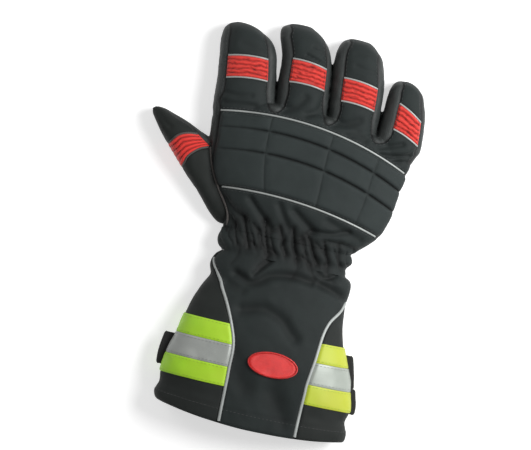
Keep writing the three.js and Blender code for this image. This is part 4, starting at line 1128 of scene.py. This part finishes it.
# %% The ladder of the cuff
CUFF_WIDTH, CUFF_LENGTH, CUFF_HEIGHT, HEM_TILT = 146.0, 120.5, 42.0, -1.1
CUFF_LADDER = [
    (0, -0.291, 0.352, 0.74, 0), (0.035, -0.317, 0.377, 0.76, 0), (0.1, -0.33, 0.39, 0.8, 0),
    (0.16, -0.318, 0.386, 0.83, 0), (0.235, -0.347, 0.39, 0.87, 0), (0.34, -0.381, 0.406, 0.93, 0),
    (0.434, -0.4, 0.426, 0.97, 0), (0.557, -0.424, 0.465, 1, 0), (0.696, -0.457, 0.503, 1, 0),
    (0.818, -0.466, 0.523, 0.98, 0), (0.884, -0.46, 0.51, 0.96, -0.008), (0.95, -0.475, 0.528, 0.96, -0.025),
    (1, -0.46, 0.525, 0.95, -0.045),
]
PIPING_ROWS = [
    (0, -0.985, 0.985), (0.07, -0.98, 0.985), (0.12, -0.93, 0.985), (0.16, -0.89, 0.985), (0.2, -0.8, 0.97),
    (0.3, -0.595, 0.815), (0.47, -0.39, 0.68), (0.74, -0.306, 0.521), (0.818, -0.3055, 0.505),
    (0.884, -0.3015, 0.52), (0.95, -0.2923, 0.4986), (1, -0.3067, 0.497),
]
CUFF_FOLDS = [
    ([(-28.7, -58.3), (-16.1, -62.4), (-2.2, -54.4), (15.7, -51.4), (27.8, -52.6)], 3.6, 2.3),
    ([(-5.1, -43.3), (-10, -49), (-15.5, -56.3)], 2.2, 1.6),
    ([(35.6, -52.8), (49.4, -57.6), (58.1, -61.6)], 3.4, 2.2),
    ([(-32.9, -66.1), (-21.4, -69.4)], 4.0, 1.3),
    ([(-18.3, -83.4), (-2.4, -79.9), (8, -82.5), (24.8, -96.5)], 4.6, 2.0),
    ([(-17.5, -118), (-3, -140)], 8.0, 1.4),
    ([(17.5, -140), (29, -158)], 8.0, 1.5),
    ([(31.3, -45), (38.2, -47.5), (45, -44)], 1.8, 1.4),
]
CUFF_WALL = 2.4


def cuff_ladder(at):
    table = np.array(CUFF_LADDER)
    return smooth(table[:, 0], table[:, 1:], at)


def cuff_points(at, angles, grow=0.0, floor=0.0):
    """Points of the cuff at shares of its length and angles round it."""
    at, angles = np.broadcast_arrays(np.asarray(at, float), np.asarray(angles, float))
    row = cuff_ladder(at)
    y = CUFF_TOP - at * CUFF_LENGTH
    left = np.stack([row[..., 0] * CUFF_WIDTH, y], -1)
    right = np.stack([row[..., 1] * CUFF_WIDTH, y], -1)
    points = cross_points(left, right, row[..., 2] * CUFF_HEIGHT, row[..., 3] * CUFF_WIDTH, 0.0, 0.0, angles, grow)
    points[..., 1] += HEM_TILT * np.cos(angles) * at**6
    return pressed(points, floor)


def pressed(points, floor=0.0):
    """The points kept above a floor, with a round edge."""
    softness = 0.6
    resting = points.copy()
    high = points[..., 2] - floor
    resting[..., 2] = floor + (high + np.sqrt(high**2 + softness**2)) / 2
    return resting


def piping_angles(at):
    """The angles of the left and the right piping of the cuff."""
    table = np.array(PIPING_ROWS)
    shares = smooth(table[:, 0], table[:, 1:], at)
    angles = np.arccos(signed_power(shares, TOP_POWER / 2))
    return angles[..., 0], angles[..., 1] - 0.55 * (1 - step_up(0.1, 0.2, at))


def grid_faces(rows, columns, closed=False):
    i, j = np.meshgrid(np.arange(rows - 1), np.arange(columns if closed else columns - 1), indexing="ij")
    k = (j + 1) % columns
    a, b, c, d = i * columns + j, i * columns + k, (i + 1) * columns + k, (i + 1) * columns + j
    return np.vstack([np.stack(part, -1).reshape(-1, 3) for part in ((a, c, b), (a, d, c))])


def even_columns(section, count):
    """New points at even distances along each row of a grid."""
    steps = np.linalg.norm(np.diff(section, axis=1), axis=2)
    along = np.concatenate([np.zeros((len(section), 1)), np.cumsum(steps, axis=1)], axis=1)
    rows = [
        np.stack([np.interp(np.linspace(0, size[-1], count), size, row[:, axis]) for axis in range(3)], -1)
        for row, size in zip(section, along)
    ]
    return np.array(rows)


def strip_of_cuff(at, top, grow=0.0, floor=0.0, spacing=1.05):
    """A grid of the cuff between the pipings: over the top, or round the underside."""
    left, right = piping_angles(at)
    start, end = (left, right) if top else (left, right + 2 * math.pi)
    shares = np.linspace(0, 1, 400)
    angles = start[:, None] + (end - start)[:, None] * shares
    if top:
        angles = angles[:, ::-1]
    section = cuff_points(at[:, None], angles, grow, floor)
    length = np.linalg.norm(np.diff(section, axis=1), axis=2).sum(1).max()
    return even_columns(section, int(length / spacing))


def from_rows(grid):
    """A grid as points, faces, and each point's distance to its row's two ends."""
    faces = grid_faces(*grid.shape[:2])
    ends = np.minimum(np.linalg.norm(grid - grid[:, :1], axis=2), np.linalg.norm(grid - grid[:, -1:], axis=2))
    return grid.reshape(-1, 3), faces, ends.reshape(-1)


# %% The cuff's back and side panels
skin_tree = BVHTree.FromPolygons(skin_points.tolist(), skin_faces.tolist())


def onto_skin(grid, at):
    """The first rows drawn onto the skin of the wrist."""
    drawn = grid.copy()
    for row, share in enumerate(1 - step_up(0.02, 0.14, at)):
        if share > 0:
            for column, point in enumerate(grid[row]):
                place = skin_tree.find_nearest(Vector(point))[0]
                drawn[row, column] = point + share * (np.array(place) - point)
    return drawn


def cuff_waves(points):
    """Slow waves of the stiff cloth of the cuff."""
    return 0.8 * grain(points, 17, 21) + 0.25 * grain(points, 6, 22)


def cuff_panel(name, grid, height, depth, finish, slot, *nodes, seam=0.9, floor=0.02, crease=0.0):
    """A cuff piece from a grid and its height above it; it is drawn in where its rows end, and painted shade is added
    there.
    """
    points, faces, ends = from_rows(grid)
    normals = normals_of(points, faces)
    outward = (points - (5, 0, 16)) * (1, 0, 1)
    if (outward * normals).sum() < 0:
        faces, normals = faces[:, ::-1], -normals
    height = height * (1 - bell(ends, 1.5)) - seam * bell(ends, 1.2)
    moved = points + normals * height[:, None]
    moved[:, 2] = np.maximum(moved[:, 2], floor)
    # Painted shade where the rows end, on top of the panel's own painted shade.
    crease = np.tile(np.clip(bell(ends, 1.5) + crease, 0, 1), 2)
    sewn(name, *thickened(moved, normals, faces, depth), finish, slot, *nodes, crease=crease)
    return moved, faces


def cuff_shape(grid):
    """The height, the thickness and the painted shade of a cuff panel: folds, waves and a rounded hem, with shade
    painted into the gathers, the folds and a line above the hem.
    """
    points = grid.reshape(-1, 3)
    hem = np.repeat((1 - rows) * CUFF_LENGTH, grid.shape[1])
    below = step_up(0, 9, CUFF_TOP - points[:, 1])
    upper = step_up(12, 24, points[:, 2])
    pinch = gathering(points) + side_puffs(points)
    folds = 1.5 * folded(points[:, :2], CUFF_FOLDS, sharp=False) * upper
    notch = 1.2 * bell(CUFF_TOP - points[:, 1], 1.5) * (1 - step_up(16, 26, points[:, 2]))
    height = 0.55 + below * cuff_waves(points) - folds - pinch - notch - 0.8 * bell(hem, 0.9)
    height = height - 0.2 * bell(hem - 9, 0.7)
    # The third value is painted shade in the gathers, along a line above the hem and in the folds.
    return height, CUFF_WALL - 1.6 * bell(hem, 0.9), 0.38 * pinch + 0.25 * bell(hem - 9, 0.6) + 0.15 * folds


rows = rows_of_cuff = np.concatenate([np.linspace(0, 0.97, 122), np.linspace(0.974, 1, 12)])
grid = onto_skin(strip_of_cuff(rows, True), rows)
height, depth, crease = cuff_shape(grid)
back_rows, back_columns = grid.shape[:2]
back_points, back_faces = cuff_panel(
    "cuff_back_cloth", grid, height, depth, cloth_finish, "shell_fabric", "cuff_back", crease=crease
)
grid = onto_skin(strip_of_cuff(rows, False, grow=-0.1, floor=0.7), rows)
height, depth, crease = cuff_shape(grid)
side_columns = grid.shape[1]
side_points, _ = cuff_panel(
    "cuff_side_cloth", grid, height, depth, shaded_side_finish, "shell_fabric", "cuff_side", floor=0.7, crease=crease
)
print("cuff panels:", 2)

# %% The three tapes
TAPE_START, TAPE_WIDTHS = 52.3, (14.8, 16.7, 14.8)
SEAM_BETWEEN = 0.08
TAPES = [
    ("tape_yellow_upper", bright_finish, "hi_vis_tape"), ("tape_silver", silver_finish, "silver_tape"),
    ("tape_yellow_lower", bright_finish, "hi_vis_tape"),
]
start, tape_edges = TAPE_START, []
for (name, finish, slot), width in zip(TAPES, TAPE_WIDTHS):
    rows = np.linspace(start + SEAM_BETWEEN, start + width - SEAM_BETWEEN, 22) / CUFF_LENGTH

    grid = strip_of_cuff(rows, False)
    edge = np.repeat(np.minimum(rows - rows[0], rows[-1] - rows) * CUFF_LENGTH, grid.shape[1])
    lift = 1.45 - 0.3 * bell(edge, 0.6) + cuff_waves(grid.reshape(-1, 3)) + 0.08 * grain(grid.reshape(-1, 3), 9, 31)
    moved, _ = cuff_panel(f"{name}_strip", grid, lift, 0.8, finish, slot, name, seam=0.6)
    moved = moved.reshape(grid.shape)
    tape_edges += [(name, moved[2]), (name, moved[-3])]
    start += width
print("tapes:", len(TAPES))

# %% [markdown]
# ## Pipings
#
# A piping is a cord wrapped in cloth and caught in a seam. A small Geometry Nodes tree draws a round
# cord along a line of points, with its radius and its material as inputs.

# %% A tree for cords
skin_tree = BVHTree.FromPolygons(skin_points.tolist(), skin_faces.tolist())


def on_skin(plan, sink):
    """Points on the smooth skin below points of the plan, sunk a little into it."""
    found = []
    for x, y in plan:
        place, normal, _, _ = skin_tree.ray_cast(Vector((x, y, 80)), Vector((0, 0, -1)))
        if place is not None:
            found.append(place - normal * sink)
    return np.array(found)


def new_tree(name, inputs):
    tree = bpy.data.node_groups.new(name, "GeometryNodeTree")
    for label, kind in {"Geometry": "Geometry", **inputs}.items():
        tree.interface.new_socket(label, in_out="INPUT", socket_type=f"NodeSocket{kind}")
    tree.interface.new_socket("Geometry", in_out="OUTPUT", socket_type="NodeSocketGeometry")
    return tree


def step(tree, kind, settings=None, **inputs):
    made = tree.nodes.new(kind)
    for name, value in (settings or {}).items():
        setattr(made, name, value)
    for name, value in inputs.items():
        socket = made.inputs[name.replace("_", " ")]
        if isinstance(value, bpy.types.NodeSocket):
            tree.links.new(value, socket)
        else:
            socket.default_value = value
    return made


def finish_tree(tree, shape):
    end = tree.nodes.new("NodeGroupOutput")
    tree.links.new(shape, end.inputs[0])
    return tree


cord_tree = new_tree("cord", {"Radius": "Float", "Material": "Material"})
given = cord_tree.nodes.new("NodeGroupInput")
line = step(cord_tree, "GeometryNodeMeshToCurve", Mesh=given.outputs["Geometry"])
ring = step(cord_tree, "GeometryNodeCurvePrimitiveCircle", Resolution=12, Radius=given.outputs["Radius"])
cord = step(cord_tree, "GeometryNodeCurveToMesh", Curve=line.outputs[0], Profile_Curve=ring.outputs[0], Fill_Caps=True)
soft = step(cord_tree, "GeometryNodeSetShadeSmooth", Geometry=cord.outputs[0])
done = step(cord_tree, "GeometryNodeSetMaterial", Geometry=soft.outputs[0], Material=given.outputs["Material"])
finish_tree(cord_tree, done.outputs[0])


def grown(name, lines, tree, slot, nodes, **values):
    """A piece that a tree grows on lines of points."""
    mesh = bpy.data.meshes.new(name)
    counts = [len(line) for line in lines]
    starts = np.cumsum([0, *counts[:-1]])
    edges = [(start + i, start + i + 1) for start, count in zip(starts, counts) for i in range(count - 1)]
    mesh.from_pydata((np.vstack(lines) * MM).tolist(), edges, [])
    made = bpy.data.objects.new(name, mesh)
    bpy.context.scene.collection.objects.link(made)
    modifier = made.modifiers.new(tree.name, "NODES")
    modifier.node_group = tree
    for item in tree.interface.items_tree:
        if item.in_out == "INPUT" and item.name in values:
            modifier[item.identifier] = values[item.name]
    made.data = bpy.data.meshes.new_from_object(made.evaluated_get(bpy.context.evaluated_depsgraph_get()))
    made.modifiers.clear()
    bpy.data.meshes.remove(mesh)
    return settled(made, slot, *nodes)


def fine(line, spacing=1.0):
    return curve(line, spacing)


cords = {}
for name, piece, lines in zip(finger_names, fingers, insert_lines):
    for place, number in (("lower", INSERT_START), ("upper", INSERT_END)):
        plan = across(piece, number, piece["left"] + 0.03, piece["right"] - 0.03, 60)
        cords[f"piping_{name}_{place}"] = (on_skin(plan, 0.1), 0.68)
cords["piping_knuckle_upper"] = (on_skin(across(HAND, UPPER_PIPING, -0.93, 0.965, 200), 0.1), 0.72)
cords["piping_knuckle_lower"] = (on_skin(across(HAND, LOWER_PIPING, -0.93, 0.965, 200), 0.1), 0.72)
for name, (line, radius) in cords.items():
    grown(f"{name}_cord", [line], cord_tree, "reflective_piping", [name], Radius=radius * MM, Material=piping_finish)
for name, line in (("upper", thumb_upper[2:]), ("lower", thumb_lower)):
    line = on_skin(line, 0.2)
    node = f"piping_thumb_{name}"
    grown(f"{node}_cord", [line], cord_tree, "dull_piping", [node], Radius=0.8 * MM, Material=dull_finish)
line = on_skin(hand_edge(5.1, 1.2, -0.985, 120), 0.1)
grown("piping_thumb_seam_cord", [line], cord_tree, "dull_piping", ["piping_thumb_seam"], Radius=0.85 * MM, Material=dull_finish)
for side, name in enumerate(("left", "right")):
    rows = np.linspace((0.06, 0.012)[side], 0.99, 160)
    line = cuff_points(rows, piping_angles(rows)[side], -0.2)
    node = f"piping_cuff_{name}"
    grown(f"{node}_cord", [line], cord_tree, "reflective_piping", [node], Radius=1.2 * MM, Material=piping_finish)
print("cords:", len(cords) + 5)

# %% [markdown]
# ## Tabs and patch
#
# The loops at the cuff's edges are webbing folded over and caught in the side seam. The patch is a
# plain oval badge in satin stitch.

# %% Webbing tabs
TABS = [("side_tab", -1, 0.57, 0.775, 8.4, 4.3), ("edge_tab_upper", 1, 0.475, 0.674, 6.5, 3.6),
        ("edge_tab_lower", 1, 0.675, 0.83, 4.8, 4.2)]
TAB_Z, TAB_LAYER, TAB_FOLD = 17.6, 0.9, 0.62
for name, side, begin, end, begin_reach, end_reach in TABS:
    share = np.linspace(0, 1, 24)
    at = begin + (end - begin) * share
    reach = begin_reach + (end_reach - begin_reach) * share - 1.0 * (2 * share - 1) ** 24
    edge = cuff_ladder(at)[:, 0 if side < 0 else 1] * CUFF_WIDTH
    turn = np.linspace(-math.pi / 2, math.pi / 2, 11)
    rows = []
    for place, out, y in zip(edge, reach, CUFF_TOP - at * CUFF_LENGTH):
        straight = np.linspace(-2.0, out - TAB_FOLD, 8)
        x = np.concatenate([straight, out - TAB_FOLD + TAB_FOLD * np.cos(turn)[1:-1], straight[::-1]])
        z = np.concatenate([np.full(8, -TAB_FOLD), TAB_FOLD * np.sin(turn)[1:-1], np.full(8, TAB_FOLD)])
        rows.append(np.stack([place + side * x, np.full(len(x), y), TAB_Z + z], -1))
    points = np.array(rows)
    faces = grid_faces(*points.shape[:2])
    points = points.reshape(-1, 3)
    normals = normals_of(points, faces)
    top = points[:, 2] > TAB_Z + 0.5
    if normals[top, 2].sum() < 0:
        faces, normals = faces[:, ::-1], -normals
    points = points + normals * (TAB_LAYER / 2 + 0.12 * grain(points, 5, 41))[:, None]
    sewn(f"{name}_webbing", *thickened(points, normals, faces, TAB_LAYER), webbing_finish, "webbing", name)
print("tabs:", len(TABS))

# %% The patch
PATCH_CENTRE, PATCH_SIZE = np.array([13.0, -119.1]), np.array([19.0, 9.5])
cuff_tree = BVHTree.FromPolygons(back_points.tolist(), back_faces.tolist())


def on_cuff(plan, lift):
    return np.array([
        (x, y, cuff_tree.ray_cast(Vector((x, y, 80)), Vector((0, 0, -1)))[0].z + up) for (x, y), up in zip(plan, lift)
    ])


rings, sides = 26, 180
radius = np.linspace(0.02, 1, rings)
turn = np.linspace(0, 2 * math.pi, sides, endpoint=False)
plan = PATCH_CENTRE + PATCH_SIZE * radius[:, None, None] * np.stack([np.cos(turn), np.sin(turn)], -1)
away = np.repeat((1 - radius) * 9.5, sides)
lift = 1.15 + 0.35 * bell(away - 1.3, 1.0) - 0.9 * bell(away, 0.7)
points = on_cuff(plan.reshape(-1, 2), lift)
faces = grid_faces(rings, sides, closed=True)
fan = np.stack([np.arange(sides), (np.arange(sides) + 1) % sides], 1)
middle = len(points)
points = np.vstack([points, points[:sides].mean(0)])
faces = np.vstack([faces, np.hstack([fan[:, ::-1], np.full((sides, 1), middle)])])
normals = normals_of(points, faces)
if normals[:, 2].sum() < 0:
    faces, normals = faces[:, ::-1], -normals
sewn("cuff_patch_badge", *thickened(points, normals, faces, 0.9), satin_finish, "red_embroidery", "cuff_patch")
print("patch points:", len(points))

# %% [markdown]
# ## Threads
#
# Rows of stitches hold the hem, the tapes and the pipings. A second small tree walks along a line
# and lays a thread every few millimetres. The patch's edge uses it too, with its threads laid
# across the line and close together.

# %% A tree for stitches
stitch_tree = new_tree("stitches", {"Spacing": "Float", "Size": "Vector", "Material": "Material"})
given = stitch_tree.nodes.new("NodeGroupInput")
line = step(stitch_tree, "GeometryNodeMeshToCurve", Mesh=given.outputs["Geometry"])
spots = step(
    stitch_tree, "GeometryNodeCurveToPoints", {"mode": "LENGTH"}, Curve=line.outputs[0], Length=given.outputs["Spacing"]
)
thread = step(stitch_tree, "GeometryNodeMeshUVSphere", Segments=6, Rings=4, Radius=1.0)
laid = step(
    stitch_tree, "GeometryNodeInstanceOnPoints", Points=spots.outputs["Points"], Instance=thread.outputs["Mesh"],
    Rotation=spots.outputs["Rotation"], Scale=given.outputs["Size"],
)
real = step(stitch_tree, "GeometryNodeRealizeInstances", Geometry=laid.outputs[0])
soft = step(stitch_tree, "GeometryNodeSetShadeSmooth", Geometry=real.outputs[0])
done = step(stitch_tree, "GeometryNodeSetMaterial", Geometry=soft.outputs[0], Material=given.outputs["Material"])
finish_tree(stitch_tree, done.outputs[0])

# %% Rows of stitches
raised_count = np.cumsum([0, *[len(points) for points, _ in raised]])
raised_faces = np.vstack([faces + start for (_, faces), start in zip(raised, raised_count)])
raised_tree = BVHTree.FromPolygons(np.vstack([points for points, _ in raised]).tolist(), raised_faces.tolist())


def on_cloth(plan):
    """Points a hair above the finished panels of the hand."""
    found = []
    for x, y in plan:
        place = raised_tree.ray_cast(Vector((x, y, 80)), Vector((0, 0, -1)))[0]
        if place is not None:
            found.append((x, y, place.z + 0.05))
    return np.array(found)


def beside(line, by):
    """A line of the plan moved sideways."""
    ahead = np.gradient(line, axis=0)
    ahead = ahead / np.linalg.norm(ahead, axis=1)[:, None]
    return line + np.stack([-ahead[:, 1], ahead[:, 0]], 1) * by


back_grid = back_points.reshape(back_rows, back_columns, 3)
side_grid = side_points.reshape(back_rows, side_columns, 3)
hem_row = int(np.searchsorted(rows_of_cuff, 1 - 7.5 / CUFF_LENGTH))
black_lines = [back_grid[hem_row, 3:-3], side_grid[hem_row, 3:-3], back_grid[8:-4, 3], back_grid[8:-4, -4]]
for line in wall_lines:
    black_lines.append(on_cloth(beside(line[4:-4], -1.5)))
for line in (knuckle_upper, knuckle_lower):
    black_lines += [on_cloth(beside(line[2:-2], by)) for by in (-1.9, 1.9)]
black_lines.append(on_cloth(beside(thumb_wall[6:-14], -1.4)))
size = (0.2 * MM, 0.2 * MM, 1.0 * MM)
values = {"Spacing": 3.0 * MM, "Size": size}
grown("seam_stitches", black_lines, stitch_tree, "shell_fabric", [], Material=black_thread, **values)
for name, finish, slot in TAPES:
    thread = grey_thread if name == "tape_silver" else lime_thread
    edges = [line for tape, line in tape_edges if tape == name]
    grown(f"{name}_stitches", edges, stitch_tree, slot, [], Material=thread, **values)
turn = np.linspace(0, 2 * math.pi, 240)
plan = PATCH_CENTRE + (PATCH_SIZE - 0.7) * np.stack([np.cos(turn), np.sin(turn)], -1)
border = on_cuff(plan, np.full(len(plan), 1.2))
values = {"Spacing": 0.5 * MM, "Size": (0.3 * MM, 1.2 * MM, 0.3 * MM)}
grown("cuff_patch_border", [border], stitch_tree, "red_embroidery", [], Material=satin_finish, **values)
print("rows of stitches:", len(black_lines) + len(tape_edges) + 1)

# %% [markdown]
# ## The liner
#
# Through the cuff one looks into a knitted liner. The hand's is the same balloon a little smaller,
# remeshed in wider faces; the cuff's is a tube inside the cuff's panels.

# %% Line the hand and the cuff
points, faces = remeshed(*balloon(-4.6, 40, 48), 2.5, 5)
points = pressed(points, 2.4)
points, faces, _ = cut(points, faces, points[:, 1] - (CUFF_TOP - 3))
points, faces = tidy(points, faces)
normals = normals_of(points, faces)
sewn("hand_liner", *thickened(points, normals, faces, 0.5), liner_finish, "shell_fabric")
at = np.linspace(0, 0.972, 44)
turns = np.linspace(0, 2 * math.pi, 180, endpoint=False)
grid = cuff_points(at[:, None], turns[None, :], -4.3, 3.4)
points, faces = grid.reshape(-1, 3), grid_faces(44, 180, closed=True)
normals = normals_of(points, faces)
if ((points - (5, 0, 16)) * (1, 0, 1) * normals).sum() < 0:
    faces, normals = faces[:, ::-1], -normals
points = points + normals * (0.4 * cuff_waves(points))[:, None]
sewn("cuff_liner", *thickened(points, normals, faces, 0.8), liner_finish, "shell_fabric")
print("liner parts:", 2)


# %% [markdown]
# ## Light, camera and size
#
# A pale studio floor, a broad light from the right and a softer one from the left, as in a product
# photograph; the camera looks straight down through a long lens.

# %% Stage, lights and camera
def stage_finish(name, dark, light):
    """Studio paper, lit from behind as well, so that only soft shadows show on it."""
    recipe = Recipe(name)
    haze = recipe.noise(140.0, 2.0)
    shade = recipe.between(haze, dark, light)
    glow = {"Emission Color": (1.0, 1.0, 1.0, 1.0), "Emission Strength": 0.55}
    return recipe.finish(shade, 0.9, recipe.bump(haze, 0.01, 0.1), **glow)


bpy.ops.mesh.primitive_plane_add(size=6, location=(0, 0, -0.0003))
floor = bpy.context.object
floor.name = "studio_floor"
floor.data.materials.append(stage_finish("studio paper", (0.66, 0.66, 0.66), (0.68, 0.68, 0.68)))

scene = bpy.context.scene
scene.view_settings.view_transform = "Standard"
world = bpy.data.worlds.new("studio")
world.use_nodes = True
world.node_tree.nodes["Background"].inputs["Color"].default_value = (1, 1, 1, 1)
world.node_tree.nodes["Background"].inputs["Strength"].default_value = 0.26
scene.world = world


def area_light(name, place, aim, size, power):
    data = bpy.data.lights.new(name, "AREA")
    data.shape = "DISK"
    data.size = size
    data.energy = power
    lamp = bpy.data.objects.new(name, data)
    scene.collection.objects.link(lamp)
    lamp.location = place
    lamp.rotation_euler = (Vector(aim) - Vector(place)).to_track_quat("-Z", "Y").to_euler()


area_light("broad light from the right", (0.5, 0.22, 0.62), (0.02, 0, 0), 0.5, 9)
area_light("soft light from the left", (-0.9, 0.5, 0.8), (0, 0, 0), 0.6, 2.5)

TURN = math.radians(12.5)
camera_data = bpy.data.cameras.new("camera")
camera_data.lens = 200
camera_data.sensor_width = 36
camera = bpy.data.objects.new("camera", camera_data)
scene.collection.objects.link(camera)
camera.location = (-0.0147, -0.0186, 0.02 + 0.3977 * 200 / 36)
camera.rotation_euler = (0, 0, TURN)
scene.camera = camera
